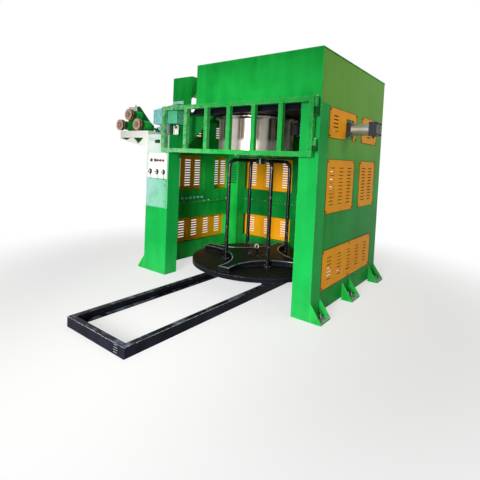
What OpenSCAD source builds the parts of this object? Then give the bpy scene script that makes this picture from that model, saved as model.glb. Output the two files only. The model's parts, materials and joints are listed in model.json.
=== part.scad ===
// Inverted vertical wire drawing machine with a coil carrier on a floor track.
// Millimetres. X to the right, Y to the back, Z up. The origin is on the floor,
// in the middle of the four corner anchor bolts.

/* [Housing] */
// Width of the housing over both side faces
housing_w = 2540; // [2400:10:2700]
// Depth of the housing
housing_d = 1990; // [1900:10:2200]
// Height of the housing
housing_h = 2700; // [2600:10:2900]
// Height of the walls, where the head box starts
wall_top = 2170; // [2150:5:2200]
// Depth of the welded wall frames
wall_t = 100; // [80:5:120]
// How far the side sheets lie behind the column faces
sheet_step = 8; // [4:1:12]
// Gap between the walls and the floor
wall_lift = 32; // [25:1:45]
// Height of the joint between the lower and upper walls
seam_z = 890; // [840:5:940]
// Width of the right front column
right_col_w = 210; // [180:5:230]
// Width of the left front column
left_col_w = 430; // [400:5:450]
// Depth of both front columns
col_d = 210; // [190:5:230]
// Height of the left front column
left_col_h = 1865; // [1840:5:1900]
// Plate thickness of the head box
plate_t = 8; // [6:1:12]
// Width of the open passage left of the head box
head_gap = 888; // [860:4:920]
// Thickness of the deck that carries the drum
deck_t = 95; // [80:5:110]

/* [Covers] */
// Sheet thickness of the louvred covers
cover_t = 5; // [3:1:8]
// Overlap of a cover on its frame opening
cover_lap = 20; // [12:1:30]
// Width of a louvre
louvre_w = 125; // [100:5:140]
// Height of a louvre opening
louvre_h = 14; // [10:1:18]
// Distance from one louvre to the next below it
louvre_pitch = 38.6; // [34:0.2:44]

/* [Drum] */
// Place of the drum axis to the right of the middle
axis_x = 87; // [60:1:110]
// Place of the drum axis behind the front face
axis_in = 645; // [620:5:670]
// Radius of the drum
drum_r = 475; // [450:1:480]
// Height of the drum's lower edge
drum_z = 1640; // [1630:5:1680]
// Radius of the drum's top rim
rim_r = 523; // [500:1:530]
// Radius of the drum shaft
shaft_r = 60; // [45:1:70]

/* [Gate] */
// Height of the gate's lower edge
gate_z = 1632; // [1620:2:1650]
// Height of the gate
gate_h = 583; // [560:1:595]
// Side of the gate's square bars
bar = 50; // [40:1:55]
// Distance between the gate and the front face
gate_gap = 35; // [30:1:45]
// Distance from one upright bar to the next
bar_pitch = 337; // [320:1:345]

/* [Coil carrier] */
// Place of the carrier's axis behind the front face when it is parked
park_in = 785; // [760:5:810]
// Radius of the turntable
table_r = 850; // [800:5:880]
// Height of the turntable's top face
table_z = 270; // [250:5:285]
// Height of the turntable's rim
table_rim = 60; // [45:1:65]
// Radius of the circle that the legs stand on
leg_circle = 421; // [380:1:440]
// Radius of a leg tube
leg_r = 24; // [18:1:28]
// Height of the middle of the crossing tubes
cross_z = 1570; // [1500:5:1580]
// Radius of the bend at the top of a leg
leg_bend = 90; // [70:5:110]
// Thickness of the four-armed base
star_t = 50; // [35:1:60]
// Length of a base arm from the axis
star_r = 800; // [760:5:820]

/* [Floor track] */
// Width of the track over its rails
track_w = 840; // [800:10:900]
// Height of the track rails
track_h = 95; // [85:1:105]
// Width of a rail flange
rail_w = 55; // [50:1:65]
// Plate thickness of a rail
rail_t = 8; // [6:1:10]
// How far the track comes out of the front
track_out = 1620; // [1500:10:1800]

/* [Straightener] */
// Radius of a straightening roller
roll_r = 80; // [65:1:85]
// Width of a roller
roll_w = 50; // [40:1:60]
// Distance between the two lower rollers
roll_pitch = 390; // [370:2:420]
// How far each roller presses into the wire line
roll_press = 8; // [4:1:12]
// Height of the wire line above the left column
wire_rise = 215; // [205:1:230]
// Depth of the wire line behind the front face
wire_in = 5; // [0:1:12]

/* [Press cylinder] */
// Place of the cylinder behind the front face
press_in = 765; // [700:5:830]
// Radius of the cylinder tube
cyl_r = 68; // [50:1:72]
// Side of the square cylinder heads
cyl_head = 150; // [145:1:170]
// Length of the cylinder tube
cyl_tube = 195; // [150:5:240]
// Radius of the piston rod
rod_r = 20; // [16:1:25]

/* [Hidden] */
$fn = 64;

paint_green = [0.12, 0.68, 0.27];
cover_orange = [0.93, 0.62, 0.15];
frame_black = [0.07, 0.07, 0.08];
steel = [0.75, 0.75, 0.77];
copper = [0.72, 0.52, 0.38];

run_gap = 0.08;            // radial clearance of a turning shaft
seat_gap = 0.3;            // clearance between faces that slide on each other
front_y = -housing_d / 2;
back_y = housing_d / 2;
right_x = housing_w / 2;
left_x = -housing_w / 2;
sheet_x = right_x - sheet_step;   // outer face of the side walls
inner_x = sheet_x - wall_t;       // inner face of the side walls
inner_y = back_y - wall_t;        // inner face of the back wall
col_back = front_y + col_d;
deck_top = wall_top + 30;
deck_z = deck_top - deck_t;
head_x = left_x + head_gap;
axis_y = front_y + axis_in;
park_y = front_y + park_in;
wire_y = front_y + wire_in;
wire_z = left_col_h + wire_rise;

// A plate standing in the XZ plane, drawn from its outline
module xz_plate(y, t) {
    translate([0, y + t, 0]) rotate([90, 0, 0]) linear_extrude(t) children();
}

// A plate standing in the YZ plane, drawn from its outline in (Y, Z)
module yz_plate(x, t) {
    translate([x, 0, 0]) rotate([90, 0, 90]) linear_extrude(t) children();
}

// A rectangle given by its corners
module rect(a, b, c, d) {
    translate([a, c]) square([b - a, d - c]);
}

// Cover fields: [start, end, columns, first column, last column] along the wall,
// counted from the front face, or from the left face on the back wall
upper_z = [1842, 2153];
middle_z = [1055, 1620];
lower_z = [252, 671];
right_fields = [[226, 987, 3, 369, 847], [1181, 1745, 2, 1326, 1564]];
left_fields = [[316, 1097, 3, 576, 1006], [1296, 1745, 2, 1462, 1646]];
side_low_field = [226, 1720, 5, 417, 1530];
back_fields = [[230, 1250, 3, 420, 1060], [1290, 2310, 3, 1480, 2120]];

// One louvred cover sheet, in the plane of the wall: u along it, v up
module cover_outline(field, zs, rows) {
    difference() {
        rect(field[0], field[1], zs[0], zs[1]);
        louvre_holes(field, zs, rows);
    }
}
module louvre_holes(field, zs, rows) {
    columns = field[2];
    span = columns > 1 ? (field[4] - field[3]) / (columns - 1) : 0;
    mid = (zs[0] + zs[1]) / 2;
    for (c = [0 : columns - 1], r = [0 : rows - 1])
        translate([field[3] + c * span - louvre_w / 2,
                   mid + (r - (rows - 1) / 2) * louvre_pitch - louvre_h / 2])
            square([louvre_w, louvre_h]);
}
// The frame opening behind a cover
module cover_opening(field, zs) {
    rect(field[0] + cover_lap, field[1] - cover_lap, zs[0] + cover_lap, zs[1] - cover_lap);
}

// Side walls are drawn for the right side, with u = distance behind the front face
module side_wall_outline(fields, z0, z1) {
    difference() {
        rect(col_d, housing_d, z0, z1);
        for (f = fields) {
            cover_opening(f, upper_z);
            cover_opening(f, middle_z);
        }
        cover_opening(side_low_field, lower_z);
    }
}
flange_w = 50;
flange_t = 12;
module side_wall(fields, z0, z1) {
    color(paint_green) {
        translate([0, front_y, 0]) yz_plate(inner_x, wall_t) side_wall_outline(fields, z0, z1);
        wall_flange(z0 < seam_z ? seam_z - flange_t : seam_z);
    }
}
// The bolted joint flange inside a side wall
module wall_flange(z) {
    translate([inner_x - flange_w, col_back, z])
        cube([flange_w, inner_y - post_d - col_back, flange_t]);
}
module right_wall_lower() { side_wall(right_fields, wall_lift, seam_z); }
module right_wall_upper() { side_wall(right_fields, seam_z, wall_top); }
module left_wall_lower() { mirror([1, 0, 0]) side_wall(left_fields, wall_lift, seam_z); }
module left_wall_upper() { mirror([1, 0, 0]) side_wall(left_fields, seam_z, wall_top); }

// The back wall stands between the side walls
module back_wall(z0, z1) {
    color(paint_green) difference() {
        union() {
            translate([-inner_x, inner_y, z0]) cube([2 * inner_x, wall_t, z1 - z0]);
            translate([post_w - inner_x, inner_y - flange_w, z0 < seam_z ? seam_z - flange_t : seam_z])
                cube([2 * (inner_x - post_w), flange_w, flange_t]);
        }
        translate([left_x, 0, 0]) xz_plate(inner_y - 1, wall_t + 2) {
            for (f = back_fields) {
                cover_opening(f, upper_z);
                cover_opening(f, middle_z);
                cover_opening(f, lower_z);
            }
        }
    }
}
module back_wall_lower() { back_wall(wall_lift, seam_z); }
module back_wall_upper() { back_wall(seam_z, wall_top); }

// Columns beside the open front
module front_columns() {
    color(paint_green) {
        translate([right_x - right_col_w, front_y, 0]) cube([right_col_w, col_d, wall_top]);
        translate([left_x, front_y, 0]) cube([left_col_w, col_d, left_col_h]);
    }
}

// Box posts in the rear corners, with cooling slots in their front faces
post_w = 212;
post_d = 210;
module rear_posts() {
    slots = 11;
    slot_w = 150;
    slot_h = 12;
    slot_pitch = 28;
    first_slot_z = 1170;
    slot_in = 30;
    color(paint_green) for (side = [-1, 1])
        difference() {
            translate([side > 0 ? inner_x - post_w : -inner_x, inner_y - post_d, wall_lift])
                cube([post_w, post_d, deck_z - wall_lift]);
            for (i = [0 : slots - 1])
                translate([side * (inner_x - post_w / 2) - slot_w / 2, inner_y - post_d - 1,
                           first_slot_z + i * slot_pitch])
                    cube([slot_w, slot_in + 1, slot_h]);
        }
}

// Feet: a floor pad with two gussets against the side face
foot_out = 122;
foot_h = 200;
pad_t = 20;
rib_t = 12;
bolt_r = 12;
foot_len = 225;
corner_feet = [0, housing_d - foot_len];
mid_foot = [837, 246];
module foot(start, len, reach) {
    translate([sheet_x, front_y + start, 0]) {
        difference() {
            cube([reach + right_x - sheet_x, len, pad_t]);
            translate([right_x - sheet_x + foot_out / 2, len / 2, -1]) cylinder(r = bolt_r, h = pad_t + 2);
        }
        for (y = [0, len - rib_t])
            xz_plate(y, rib_t) polygon([[0, pad_t - 1], [reach + right_x - sheet_x, pad_t - 1],
                                        [0, foot_h]]);
    }
}
module anchor_feet() {
    color(paint_green) for (side = [0, 1]) mirror([side, 0, 0]) {
        difference() {
            foot(corner_feet[0], foot_len, foot_out);
            translate([inner_x, front_y - 1, -1]) cube([wall_t + sheet_step, col_d + 1, foot_h + 2]);
        }
        foot(corner_feet[1], foot_len, foot_out);
        foot(mid_foot[0], mid_foot[1], foot_out);
    }
}

// Head box over the drive
module head_box_front() {
    color(paint_green) translate([head_x, front_y, wall_top])
        cube([right_x - head_x, plate_t, housing_h - plate_t - wall_top]);
}
module head_box_sides() {
    top = housing_h - plate_t;
    color(paint_green) {
        translate([head_x, front_y + plate_t, deck_top])
            cube([plate_t, housing_d - plate_t, top - deck_top]);
        translate([head_x, back_y - plate_t, deck_top])
            cube([sheet_x - head_x, plate_t, top - deck_top]);
        translate([head_x, back_y - plate_t, wall_top])
            cube([sheet_x - head_x, plate_t, deck_top - wall_top + 1]);
        translate([sheet_x - plate_t, front_y + plate_t, wall_top])
            cube([plate_t, housing_d - plate_t, top - wall_top]);
    }
}
module head_box_roof() {
    color(paint_green) translate([head_x, front_y, housing_h - plate_t])
        cube([right_x - head_x, housing_d, plate_t]);
}

// The deck that carries the drum, with a slanted left end and a square seat for the bearing
deck_slant = 72;
deck_left = head_x - deck_slant;
seat_w = 300;
module deck_plate() {
    deck_front = front_y + plate_t;
    color(frame_black) difference() {
        xz_plate(deck_front, inner_y - deck_front)
            polygon([[deck_left, deck_z], [inner_x, deck_z], [inner_x, deck_top],
                     [deck_left + deck_slant, deck_top]]);
        translate([right_x - right_col_w, front_y, deck_z - 1])
            cube([right_col_w, col_d, deck_t + 2]);
        translate([axis_x - seat_w / 2, axis_y - seat_w / 2, deck_z - 1])
            cube([seat_w, seat_w, deck_t + 2]);
    }
}
// Bearing of the drum shaft: a square block in the deck with a round collar on top
collar_r = 135;
collar_h = 60;
module drum_bearing() {
    color("dimgray") translate([axis_x, axis_y, deck_z]) difference() {
        union() {
            translate([-seat_w / 2, -seat_w / 2, 0]) cube([seat_w, seat_w, deck_t]);
            translate([0, 0, deck_t - 1]) cylinder(r = collar_r, h = collar_h + 1);
        }
        translate([0, 0, -1]) cylinder(r = shaft_r + run_gap, h = deck_t + collar_h + 2);
    }
}
// Beams from the left wall to the deck, and a slanted web at the left column
gusset_in = 65;
gusset_t = 12;
gusset_drop = 305;
gusset_reach = 640;
beam_w = 100;
beam_in = 395;
module left_top_frame() {
    column_x = left_x + left_col_w;
    color(paint_green) {
        for (y = [front_y + beam_in, inner_y - post_d - beam_w])
            xz_plate(y, beam_w) polygon([[-inner_x, deck_z], [deck_left, deck_z],
                                         [deck_left + deck_slant, deck_top], [-inner_x, deck_top]]);
        xz_plate(col_back - gusset_in, gusset_t)
            polygon([[column_x, left_col_h - gusset_drop], [column_x, deck_z],
                     [column_x + gusset_reach, deck_z]]);
    }
}
// The smaller box on the left of the head box, on a post plate
box_in = [33, 409];
box_w = 366;
box_d = 700;
box_h = 210;
box_x = [left_x + box_in[0], left_x + box_in[0] + box_w];
box_y = [front_y + box_in[1], front_y + box_in[1] + box_d];
box_low = housing_h - box_h;
box_lip = 120;
box_gusset = 110;
post_plate_w = 149;
module upper_left_box() {
    color(paint_green) {
        translate([box_x[0], box_y[0], box_low])
            cube([box_x[1] - box_x[0], box_y[1] - box_y[0], housing_h - box_low]);
        translate([box_x[0], box_y[0], box_low - box_lip])
            cube([box_x[1] - box_x[0], plate_t, box_lip + 1]);
        translate([box_x[1] - post_plate_w, box_y[0], deck_top])
            cube([post_plate_w, plate_t, box_low - deck_top + 1]);
        for (x = [box_x[0], box_x[1] - plate_t])
            yz_plate(x, plate_t)
                polygon([[box_y[0], box_low - box_gusset], [box_y[0] + box_gusset, box_low + 1],
                         [box_y[0], box_low + 1]]);
    }
}

// Louvred covers
upper_rows = 5;
middle_rows = 11;
lower_rows = 7;
notch = [press_in - 85, press_in + 131, 2071];
// On the right, the upper covers have one column of slots each
right_upper_fields = [[226, 987, 1, 395, 395], [1181, 1745, 1, 1445, 1445]];
module side_cover(field, zs, rows) {
    yz_plate(sheet_x, cover_t) cover_outline(field, zs, rows);
}
module side_covers() {
    color(cover_orange) translate([0, front_y, 0]) {
        difference() {
            side_cover(right_upper_fields[0], upper_z, upper_rows);
            yz_plate(sheet_x - 1, cover_t + 2) rect(notch[0], notch[1], upper_z[0] - 1, notch[2]);
        }
        side_cover(right_upper_fields[1], upper_z, upper_rows);
        for (f = right_fields) side_cover(f, middle_z, middle_rows);
        side_cover(side_low_field, lower_z, lower_rows);
    }
    color(cover_orange) mirror([1, 0, 0]) translate([0, front_y, 0]) {
        for (f = left_fields) {
            side_cover(f, upper_z, upper_rows);
            side_cover(f, middle_z, middle_rows);
        }
        side_cover(side_low_field, lower_z, lower_rows);
    }
}
module back_covers() {
    color(cover_orange) translate([left_x, 0, 0]) for (f = back_fields) {
        xz_plate(back_y, cover_t) cover_outline(f, upper_z, upper_rows);
        xz_plate(back_y, cover_t) cover_outline(f, middle_z, middle_rows);
        xz_plate(back_y, cover_t) cover_outline(f, lower_z, lower_rows);
    }
}

// Control panel on the left column
panel_t = 12;
panel_in = 26;
panel_w = 385;
panel_h = 338;
panel_drop = 248;
panel_x = [left_x + panel_in, left_x + panel_in + panel_w];
panel_z = [left_col_h - panel_drop - panel_h, left_col_h - panel_drop];
module control_panel() {
    color("whitesmoke") xz_plate(front_y - panel_t, panel_t)
        rect(panel_x[0], panel_x[1], panel_z[0], panel_z[1]);
}
module knob(x, z, r, h) {
    translate([x, front_y - panel_t, z]) rotate([90, 0, 0]) cylinder(r = r, h = h);
}
dial_drop = 100;
switch_lift = 85;
module panel_switches() {
    dial_z = panel_z[1] - dial_drop;
    switch_z = panel_z[0] + switch_lift;
    for (x = [86, 162]) color("dimgray") knob(panel_x[0] + x, dial_z, 20, 10);
    for (x = [216, 270, 324]) color("red") knob(panel_x[0] + x, dial_z, 14, 16);
    for (x = [63, 199, 326]) color("dimgray") knob(panel_x[0] + x, switch_z, 22, 18);
}

// Two dies on top of the left column, under a hood
hood_in = 132;
hood_w = 453;
hood_d = 150;
hood_out = 25;
hood_lift = 135;
hood_low_h = 187;
hood_high_h = 253;
hood_post = 30;
hood_x = [left_x + hood_in, left_x + hood_in + hood_w];
hood_y = [front_y - hood_out, front_y - hood_out + hood_d];
hood_base = left_col_h + hood_lift;
hood_z = [hood_base, hood_base + hood_low_h, hood_base + hood_high_h];
sheet = 6;
wire_hole_r = 15;
module die_hood() {
    color(paint_green) difference() {
        xz_plate(hood_y[0], hood_y[1] - hood_y[0])
            polygon([[hood_x[0], hood_z[0]], [hood_x[1], hood_z[0]],
                     [hood_x[1], hood_z[2]], [hood_x[0], hood_z[1]]]);
        xz_plate(hood_y[0] + sheet, hood_y[1] - hood_y[0] - 2 * sheet)
            polygon([[hood_x[0] + sheet, hood_z[0] - 1], [hood_x[1] - sheet, hood_z[0] - 1],
                     [hood_x[1] - sheet, hood_z[2] - sheet], [hood_x[0] + sheet, hood_z[1] - sheet]]);
        translate([hood_x[0] - 1, wire_y, wire_z]) rotate([0, 90, 0])
            cylinder(r = wire_hole_r, h = hood_x[1] - hood_x[0] + 2);
    }
    color(paint_green) for (x = [hood_x[0], left_x + left_col_w - 50])
        translate([x, hood_y[1] - hood_post, left_col_h])
            cube([hood_post, hood_post, hood_z[0] + 20 - left_col_h]);
}
die_r = 22;
die_hole_r = 6;
die_len = 120;
die_block = [60, 70];
die_places = [200, 335];
module die_holder() {
    color(steel) for (x = die_places) translate([left_x + x, wire_y, 0]) difference() {
        union() {
            translate([(die_len - die_block[0]) / 2, 0, left_col_h])
                cube([die_block[0], die_block[1], wire_rise]);
            translate([0, 0, wire_z]) rotate([0, 90, 0]) cylinder(r = die_r, h = die_len);
        }
        translate([-1, 0, wire_z]) rotate([0, 90, 0]) cylinder(r = die_hole_r, h = die_len + 2);
    }
}
// Water taps at the back of the column's top, and a filter bowl beside them
tap_in = 165;
tap_places = [347, 400];
bowl_place = 250;
tap_lever = [12, 60, 8];
module water_valves() {
    tap_y = front_y + tap_in;
    color("gainsboro") for (x = tap_places) translate([left_x + x, tap_y, left_col_h]) {
        cylinder(r = 14, h = 45);
        translate([0, 0, 44]) cylinder(r = 20, h = 26);
        translate([0, 0, 69]) cylinder(r = 7, h = 30);
        translate([-tap_lever[0] / 2, -tap_lever[1] / 2, 98]) cube(tap_lever);
    }
    color("gainsboro") translate([left_x + bowl_place, tap_y, left_col_h]) {
        cylinder(r = 30, h = 80);
        translate([0, 0, 79]) cylinder(r1 = 30, r2 = 20, h = 30);
    }
}

// Straightener on a bracket at the left column
roll_out = 430;
roll_mid_x = left_x - roll_out;
roll_low_z = wire_z - roll_r + roll_press;
roll_top_z = wire_z + roll_r - roll_press;
roller_places = [[roll_mid_x, roll_top_z], [roll_mid_x - roll_pitch / 2, roll_low_z],
                 [roll_mid_x + roll_pitch / 2, roll_low_z]];
axle_r = 14;
plate_in = 200;
plate_y = front_y + plate_in;
bracket_t = 25;
beam_h = 96;
beam_drop = 42;
beam_x = [roll_mid_x - roll_pitch / 2, left_x];
beam_z = [left_col_h - beam_drop, left_col_h - beam_drop + beam_h];
plate_half = 285;
plate_rise = 218;
plate_x = [roll_mid_x - plate_half, roll_mid_x + plate_half];
plate_top = wire_z + plate_rise;
shoulder_w = 85;
shoulder_rise = [84, 146];
top_end = 45;
adjust_hole = [75, 35];
adjust_place = [170, 65];
web_t = 14;
web_low = 120;
// Start and width of the two openings in the front web
web_holes = [[25, 235], [305, 225]];
module straightener_bracket() {
    color("honeydew") {
        translate([beam_x[0], front_y, beam_z[0]])
            cube([beam_x[1] - beam_x[0], plate_y + bracket_t - front_y, beam_z[1] - beam_z[0]]);
        xz_plate(plate_y, bracket_t) difference() {
            polygon([[plate_x[0], beam_z[0]], [plate_x[1], beam_z[0]],
                     [plate_x[1], beam_z[1] + shoulder_rise[0]],
                     [plate_x[1] - shoulder_w, beam_z[1] + shoulder_rise[1]],
                     [roll_mid_x - top_end, plate_top], [plate_x[0], plate_top]]);
            translate([roll_mid_x - adjust_place[0], plate_top - adjust_place[1]])
                square(adjust_hole);
        }
        xz_plate(plate_y, web_t) bracket_web();
        xz_plate(front_y, web_t) difference() {
            bracket_web();
            for (hole = web_holes) web_opening(beam_x[0] + hole[0], hole[1]);
        }
    }
}
// Web under the beam, deeper at the column
function web_edge(x) = beam_z[0] - 20 - web_low * (x - beam_x[0]) / (beam_x[1] - beam_x[0]);
module bracket_web() {
    polygon([[beam_x[0], beam_z[0] + 1], [beam_x[1], beam_z[0] + 1], [beam_x[1], web_edge(beam_x[1])],
             [beam_x[0], web_edge(beam_x[0])]]);
}
module web_opening(x, w) {
    polygon([[x, beam_z[0] - 2], [x + w, beam_z[0] - 2], [x + w / 2, web_edge(x + w / 2) + 12]]);
}
housing_r = 64;
housing_len = 105;
module bearing_housings() {
    color(paint_green) for (p = roller_places) translate([p[0], plate_y, p[1]]) rotate([90, 0, 0])
        difference() {
            cylinder(r = housing_r, h = housing_len);
            translate([0, 0, -1]) cylinder(r = axle_r + run_gap, h = housing_len + 2);
        }
}
module guide_roller(p) {
    front = wire_y - roll_w / 2;
    back = plate_y - seat_gap;
    color(copper) translate([p[0], back, p[1]]) rotate([90, 0, 0]) {
        cylinder(r = axle_r, h = back - front);
        difference() {
            translate([0, 0, back - front - roll_w]) cylinder(r = roll_r, h = roll_w);
            translate([0, 0, back - front - roll_w / 2]) rotate_extrude()
                translate([roll_r, 0]) circle(r = 8);
        }
    }
}
module guide_roller_1() { guide_roller(roller_places[0]); }
module guide_roller_2() { guide_roller(roller_places[1]); }
module guide_roller_3() { guide_roller(roller_places[2]); }

// Air cylinder that pushes the press roller on to the drum
press_y = front_y + press_in;
press_z = (upper_z[0] + notch[2]) / 2 + 8.5;
head1 = 50;
head2 = 85;
press_r = 45;
press_h = 120;
press_clear = 6;
rod_stroke = 60;
press_x = axis_x + sqrt(pow(drum_r + press_clear + press_r, 2) - pow(press_y - axis_y, 2));
module press_cylinder() {
    difference() {
        union() {
            color(frame_black) {
                translate([sheet_x, press_y - cyl_head / 2, press_z - cyl_head / 2])
                    cube([head1, cyl_head, cyl_head]);
                translate([sheet_x + head1 + cyl_tube, press_y - cyl_head / 2, press_z - cyl_head / 2])
                    cube([head2, cyl_head, cyl_head]);
            }
            color(steel) translate([sheet_x, press_y, press_z]) rotate([0, 90, 0])
                cylinder(r = cyl_r, h = head1 + cyl_tube + 5);
        }
        translate([sheet_x - 1, press_y, press_z]) rotate([0, 90, 0])
            cylinder(r = rod_r + run_gap, h = rod_stroke + 60);
        translate([sheet_x + head1 + cyl_tube + head2 - 12, press_y, press_z + 15]) rotate([0, 90, 0])
            cylinder(r = 14, h = 20);
    }
}
mount_t = 20;
mount_w = right_fields[0][1] - cover_lap - press_in;
module cylinder_mount() {
    color(paint_green) difference() {
        translate([sheet_x - mount_t, press_y - mount_w / 2, upper_z[0] + cover_lap])
            cube([mount_t, mount_w, upper_z[1] - upper_z[0] - 2 * cover_lap]);
        translate([sheet_x - mount_t - 1, press_y, press_z]) rotate([0, 90, 0])
            cylinder(r = rod_r + run_gap, h = mount_t + 2);
    }
}
fork_t = 16;
pin_r = 10;
module press_rod() {
    fork_x = press_x + press_r + 10;
    color(steel) {
        translate([fork_x + 20, press_y, press_z]) rotate([0, 90, 0])
            cylinder(r = rod_r, h = sheet_x + 50 - fork_x - 20);
        translate([fork_x, press_y - 25, press_z - press_h / 2 - 6 - fork_t])
            cube([22, 50, press_h + 12 + 2 * fork_t]);
        for (z = [press_z - press_h / 2 - 6 - fork_t, press_z + press_h / 2 + 6])
            translate([press_x, press_y - 25, z]) cube([fork_x - press_x + 1, 50, fork_t]);
        for (z = [press_z - press_h / 2 - 6 - fork_t, press_z + press_h / 2 + 6])
            translate([press_x, press_y, z]) cylinder(r = 25, h = fork_t);
        translate([press_x, press_y, press_z - press_h / 2 - 7]) cylinder(r = pin_r, h = press_h + 14);
    }
}
module press_roller() {
    color("dimgray") translate([press_x, press_y, press_z - press_h / 2]) difference() {
        cylinder(r = press_r, h = press_h);
        translate([0, 0, -1]) cylinder(r = pin_r + run_gap, h = press_h + 2);
    }
}

// Drum with a lip at its foot, the flange that it hangs from, and its shaft
rim_t = 20;
rim_slope = 15;
lip_h = 15;
lip_out = 15;
rim_gap = 10;
drum_top = deck_z - rim_gap;
flange_z = drum_top - rim_t - rim_slope;
module drum() {
    body_h = flange_z - drum_z;
    color(steel) translate([axis_x, axis_y, drum_z]) rotate_extrude($fn = 96) polygon([
        [0, 0], [drum_r + lip_out - 5, 0], [drum_r + lip_out, 5], [drum_r + lip_out, lip_h],
        [drum_r, lip_h + lip_out], [drum_r, body_h], [0, body_h]]);
}
module drum_flange() {
    flange_h = drum_top - flange_z;
    color(steel) translate([axis_x, axis_y, flange_z]) rotate_extrude($fn = 96) polygon([
        [0, 0], [drum_r, 0], [rim_r - 8, rim_slope], [rim_r, rim_slope + 8],
        [rim_r, flange_h - 4], [rim_r - 4, flange_h], [0, flange_h]]);
}
module drum_shaft() {
    color(steel) translate([axis_x, axis_y, drum_top]) cylinder(r = shaft_r, h = deck_t + 150);
}

// Guard gate across the drum opening
gate_x = [left_x + 369, right_x - 36];
gate_y = front_y - gate_gap - bar;
uprights = 5;
hinge_x = right_x - 14;
hinge_y = gate_y + bar / 2;
knuckle_r = 14;
hinge_pin_r = 6;
leaf_t = 10;
// Height of each hinge, and of one of its two knuckles
hinge_places = [[1690, 54], [2030, 88]];
module gate() {
    color(paint_green) {
        for (z = [gate_z, gate_z + gate_h - bar])
            translate([gate_x[0], gate_y, z]) cube([gate_x[1] - gate_x[0], bar, bar]);
        translate([gate_x[0], gate_y, gate_z]) cube([bar, bar, gate_h]);
        for (i = [0 : uprights])
            translate([gate_x[1] - bar - i * bar_pitch, gate_y, gate_z]) cube([bar, bar, gate_h]);
        for (h = hinge_places) translate([0, 0, h[0] + h[1] + seat_gap]) difference() {
            union() {
                translate([hinge_x, hinge_y, 0]) cylinder(r = knuckle_r, h = h[1]);
                translate([gate_x[1] - 1, hinge_y - leaf_t / 2, 0])
                    cube([hinge_x - gate_x[1] - hinge_pin_r + 1, leaf_t, h[1]]);
            }
            translate([hinge_x, hinge_y, -1]) cylinder(r = hinge_pin_r + run_gap, h = h[1] + 2);
        }
    }
}
module gate_hinges() {
    color(paint_green) for (h = hinge_places) {
        translate([hinge_x, hinge_y, h[0]]) cylinder(r = knuckle_r, h = h[1]);
        translate([hinge_x, hinge_y, h[0]]) cylinder(r = hinge_pin_r, h = 2 * h[1] + 8);
        translate([hinge_x - leaf_t / 2, hinge_y, h[0]]) cube([leaf_t, front_y - hinge_y, h[1]]);
    }
}

// Floor track: two channel rails and two end channels, each welded from a web and two flanges
weld_gap = 0.5;            // root gap between plates that a weld bridges
track_y = [front_y - track_out, inner_y];
track_x = [axis_x - track_w / 2, axis_x + track_w / 2];
flange_y = [track_y[0] + rail_t, track_y[1] - rail_t];
module track_webs() {
    color(frame_black) {
        for (y = [track_y[0], flange_y[1]])
            translate([track_x[0], y, 0]) cube([track_w, rail_t, track_h]);
        for (x = [track_x[0], track_x[1] - rail_t]) translate([x, flange_y[0] + weld_gap, 0])
            cube([rail_t, flange_y[1] - flange_y[0] - 2 * weld_gap, track_h]);
    }
}
module track_flanges() {
    strip_w = rail_w - rail_t;
    cross_x = track_x[0] + rail_w + weld_gap;
    color(frame_black) for (z = [0, track_h - rail_t]) {
        for (x = [track_x[0] + rail_t, track_x[1] - rail_w])
            translate([x, flange_y[0], z]) cube([strip_w, flange_y[1] - flange_y[0], rail_t]);
        for (y = [flange_y[0], flange_y[1] - strip_w])
            translate([cross_x, y, z]) cube([track_w - 2 * rail_w - 2 * weld_gap, strip_w, rail_t]);
    }
}

// Trolley that carries the turntable along the track
wheel_r = 35;
wheel_w = 30;
trolley_len = 760;
trolley_z = track_h + 15;
trolley_t = 40;
side_t = 16;
bearing_ring_r = 180;
trolley_top = trolley_z + trolley_t;
hub_z = table_z - table_rim - 10;
side_x = track_w / 2 - rail_w - 6 - side_t;
module trolley() {
    color(frame_black) translate([axis_x, park_y, 0]) {
        translate([-side_x - side_t, -trolley_len / 2, trolley_z])
            cube([2 * (side_x + side_t), trolley_len, trolley_t]);
        for (side = [0, 1]) mirror([side, 0, 0])
            translate([side_x, -trolley_len / 2, 15]) cube([side_t, trolley_len, trolley_z - 14]);
        difference() {
            translate([0, 0, trolley_top - 1]) cylinder(r = bearing_ring_r, h = hub_z - trolley_top + 1);
            translate([0, 0, trolley_top - 2]) cylinder(r = shaft_r + run_gap, h = hub_z);
        }
    }
}
module trolley_wheels() {
    color("dimgray") translate([axis_x, park_y, rail_t + seat_gap + wheel_r])
        for (side = [0, 1], y = [-1, 1]) mirror([side, 0, 0])
            translate([side_x + side_t, y * (trolley_len / 2 - 80), 0]) rotate([0, 90, 0]) {
                cylinder(r = 14, h = 9);
                translate([0, 0, 8]) cylinder(r = wheel_r, h = wheel_w);
            }
}

// Turntable: a round plate on a frame with a rim, four ribs and a hub
table_t = 12;
rim_wall = 12;
hub_r = 150;
module turntable() {
    color(frame_black) translate([axis_x, park_y, table_z - table_t])
        cylinder(r = table_r, h = table_t, $fn = 96);
}
module turntable_frame() {
    frame_h = table_rim - table_t;
    hub_gap = hub_z + seat_gap;
    color(frame_black) translate([axis_x, park_y, table_z - table_rim]) {
        difference() {
            cylinder(r = table_r, h = frame_h, $fn = 96);
            translate([0, 0, -1]) cylinder(r = table_r - rim_wall, h = frame_h + 2, $fn = 96);
        }
        for (a = [0 : 90 : 270]) rotate(a) translate([hub_r - 10, -rim_wall / 2, 0])
            cube([table_r - rim_wall / 2 - hub_r + 10, rim_wall, frame_h]);
    }
    color(frame_black) translate([axis_x, park_y, hub_gap])
        cylinder(r = hub_r, h = table_z - table_t - hub_gap);
    color(frame_black) translate([axis_x, park_y, trolley_top + seat_gap])
        cylinder(r = shaft_r, h = hub_gap - trolley_top - seat_gap + 1);
}
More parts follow.
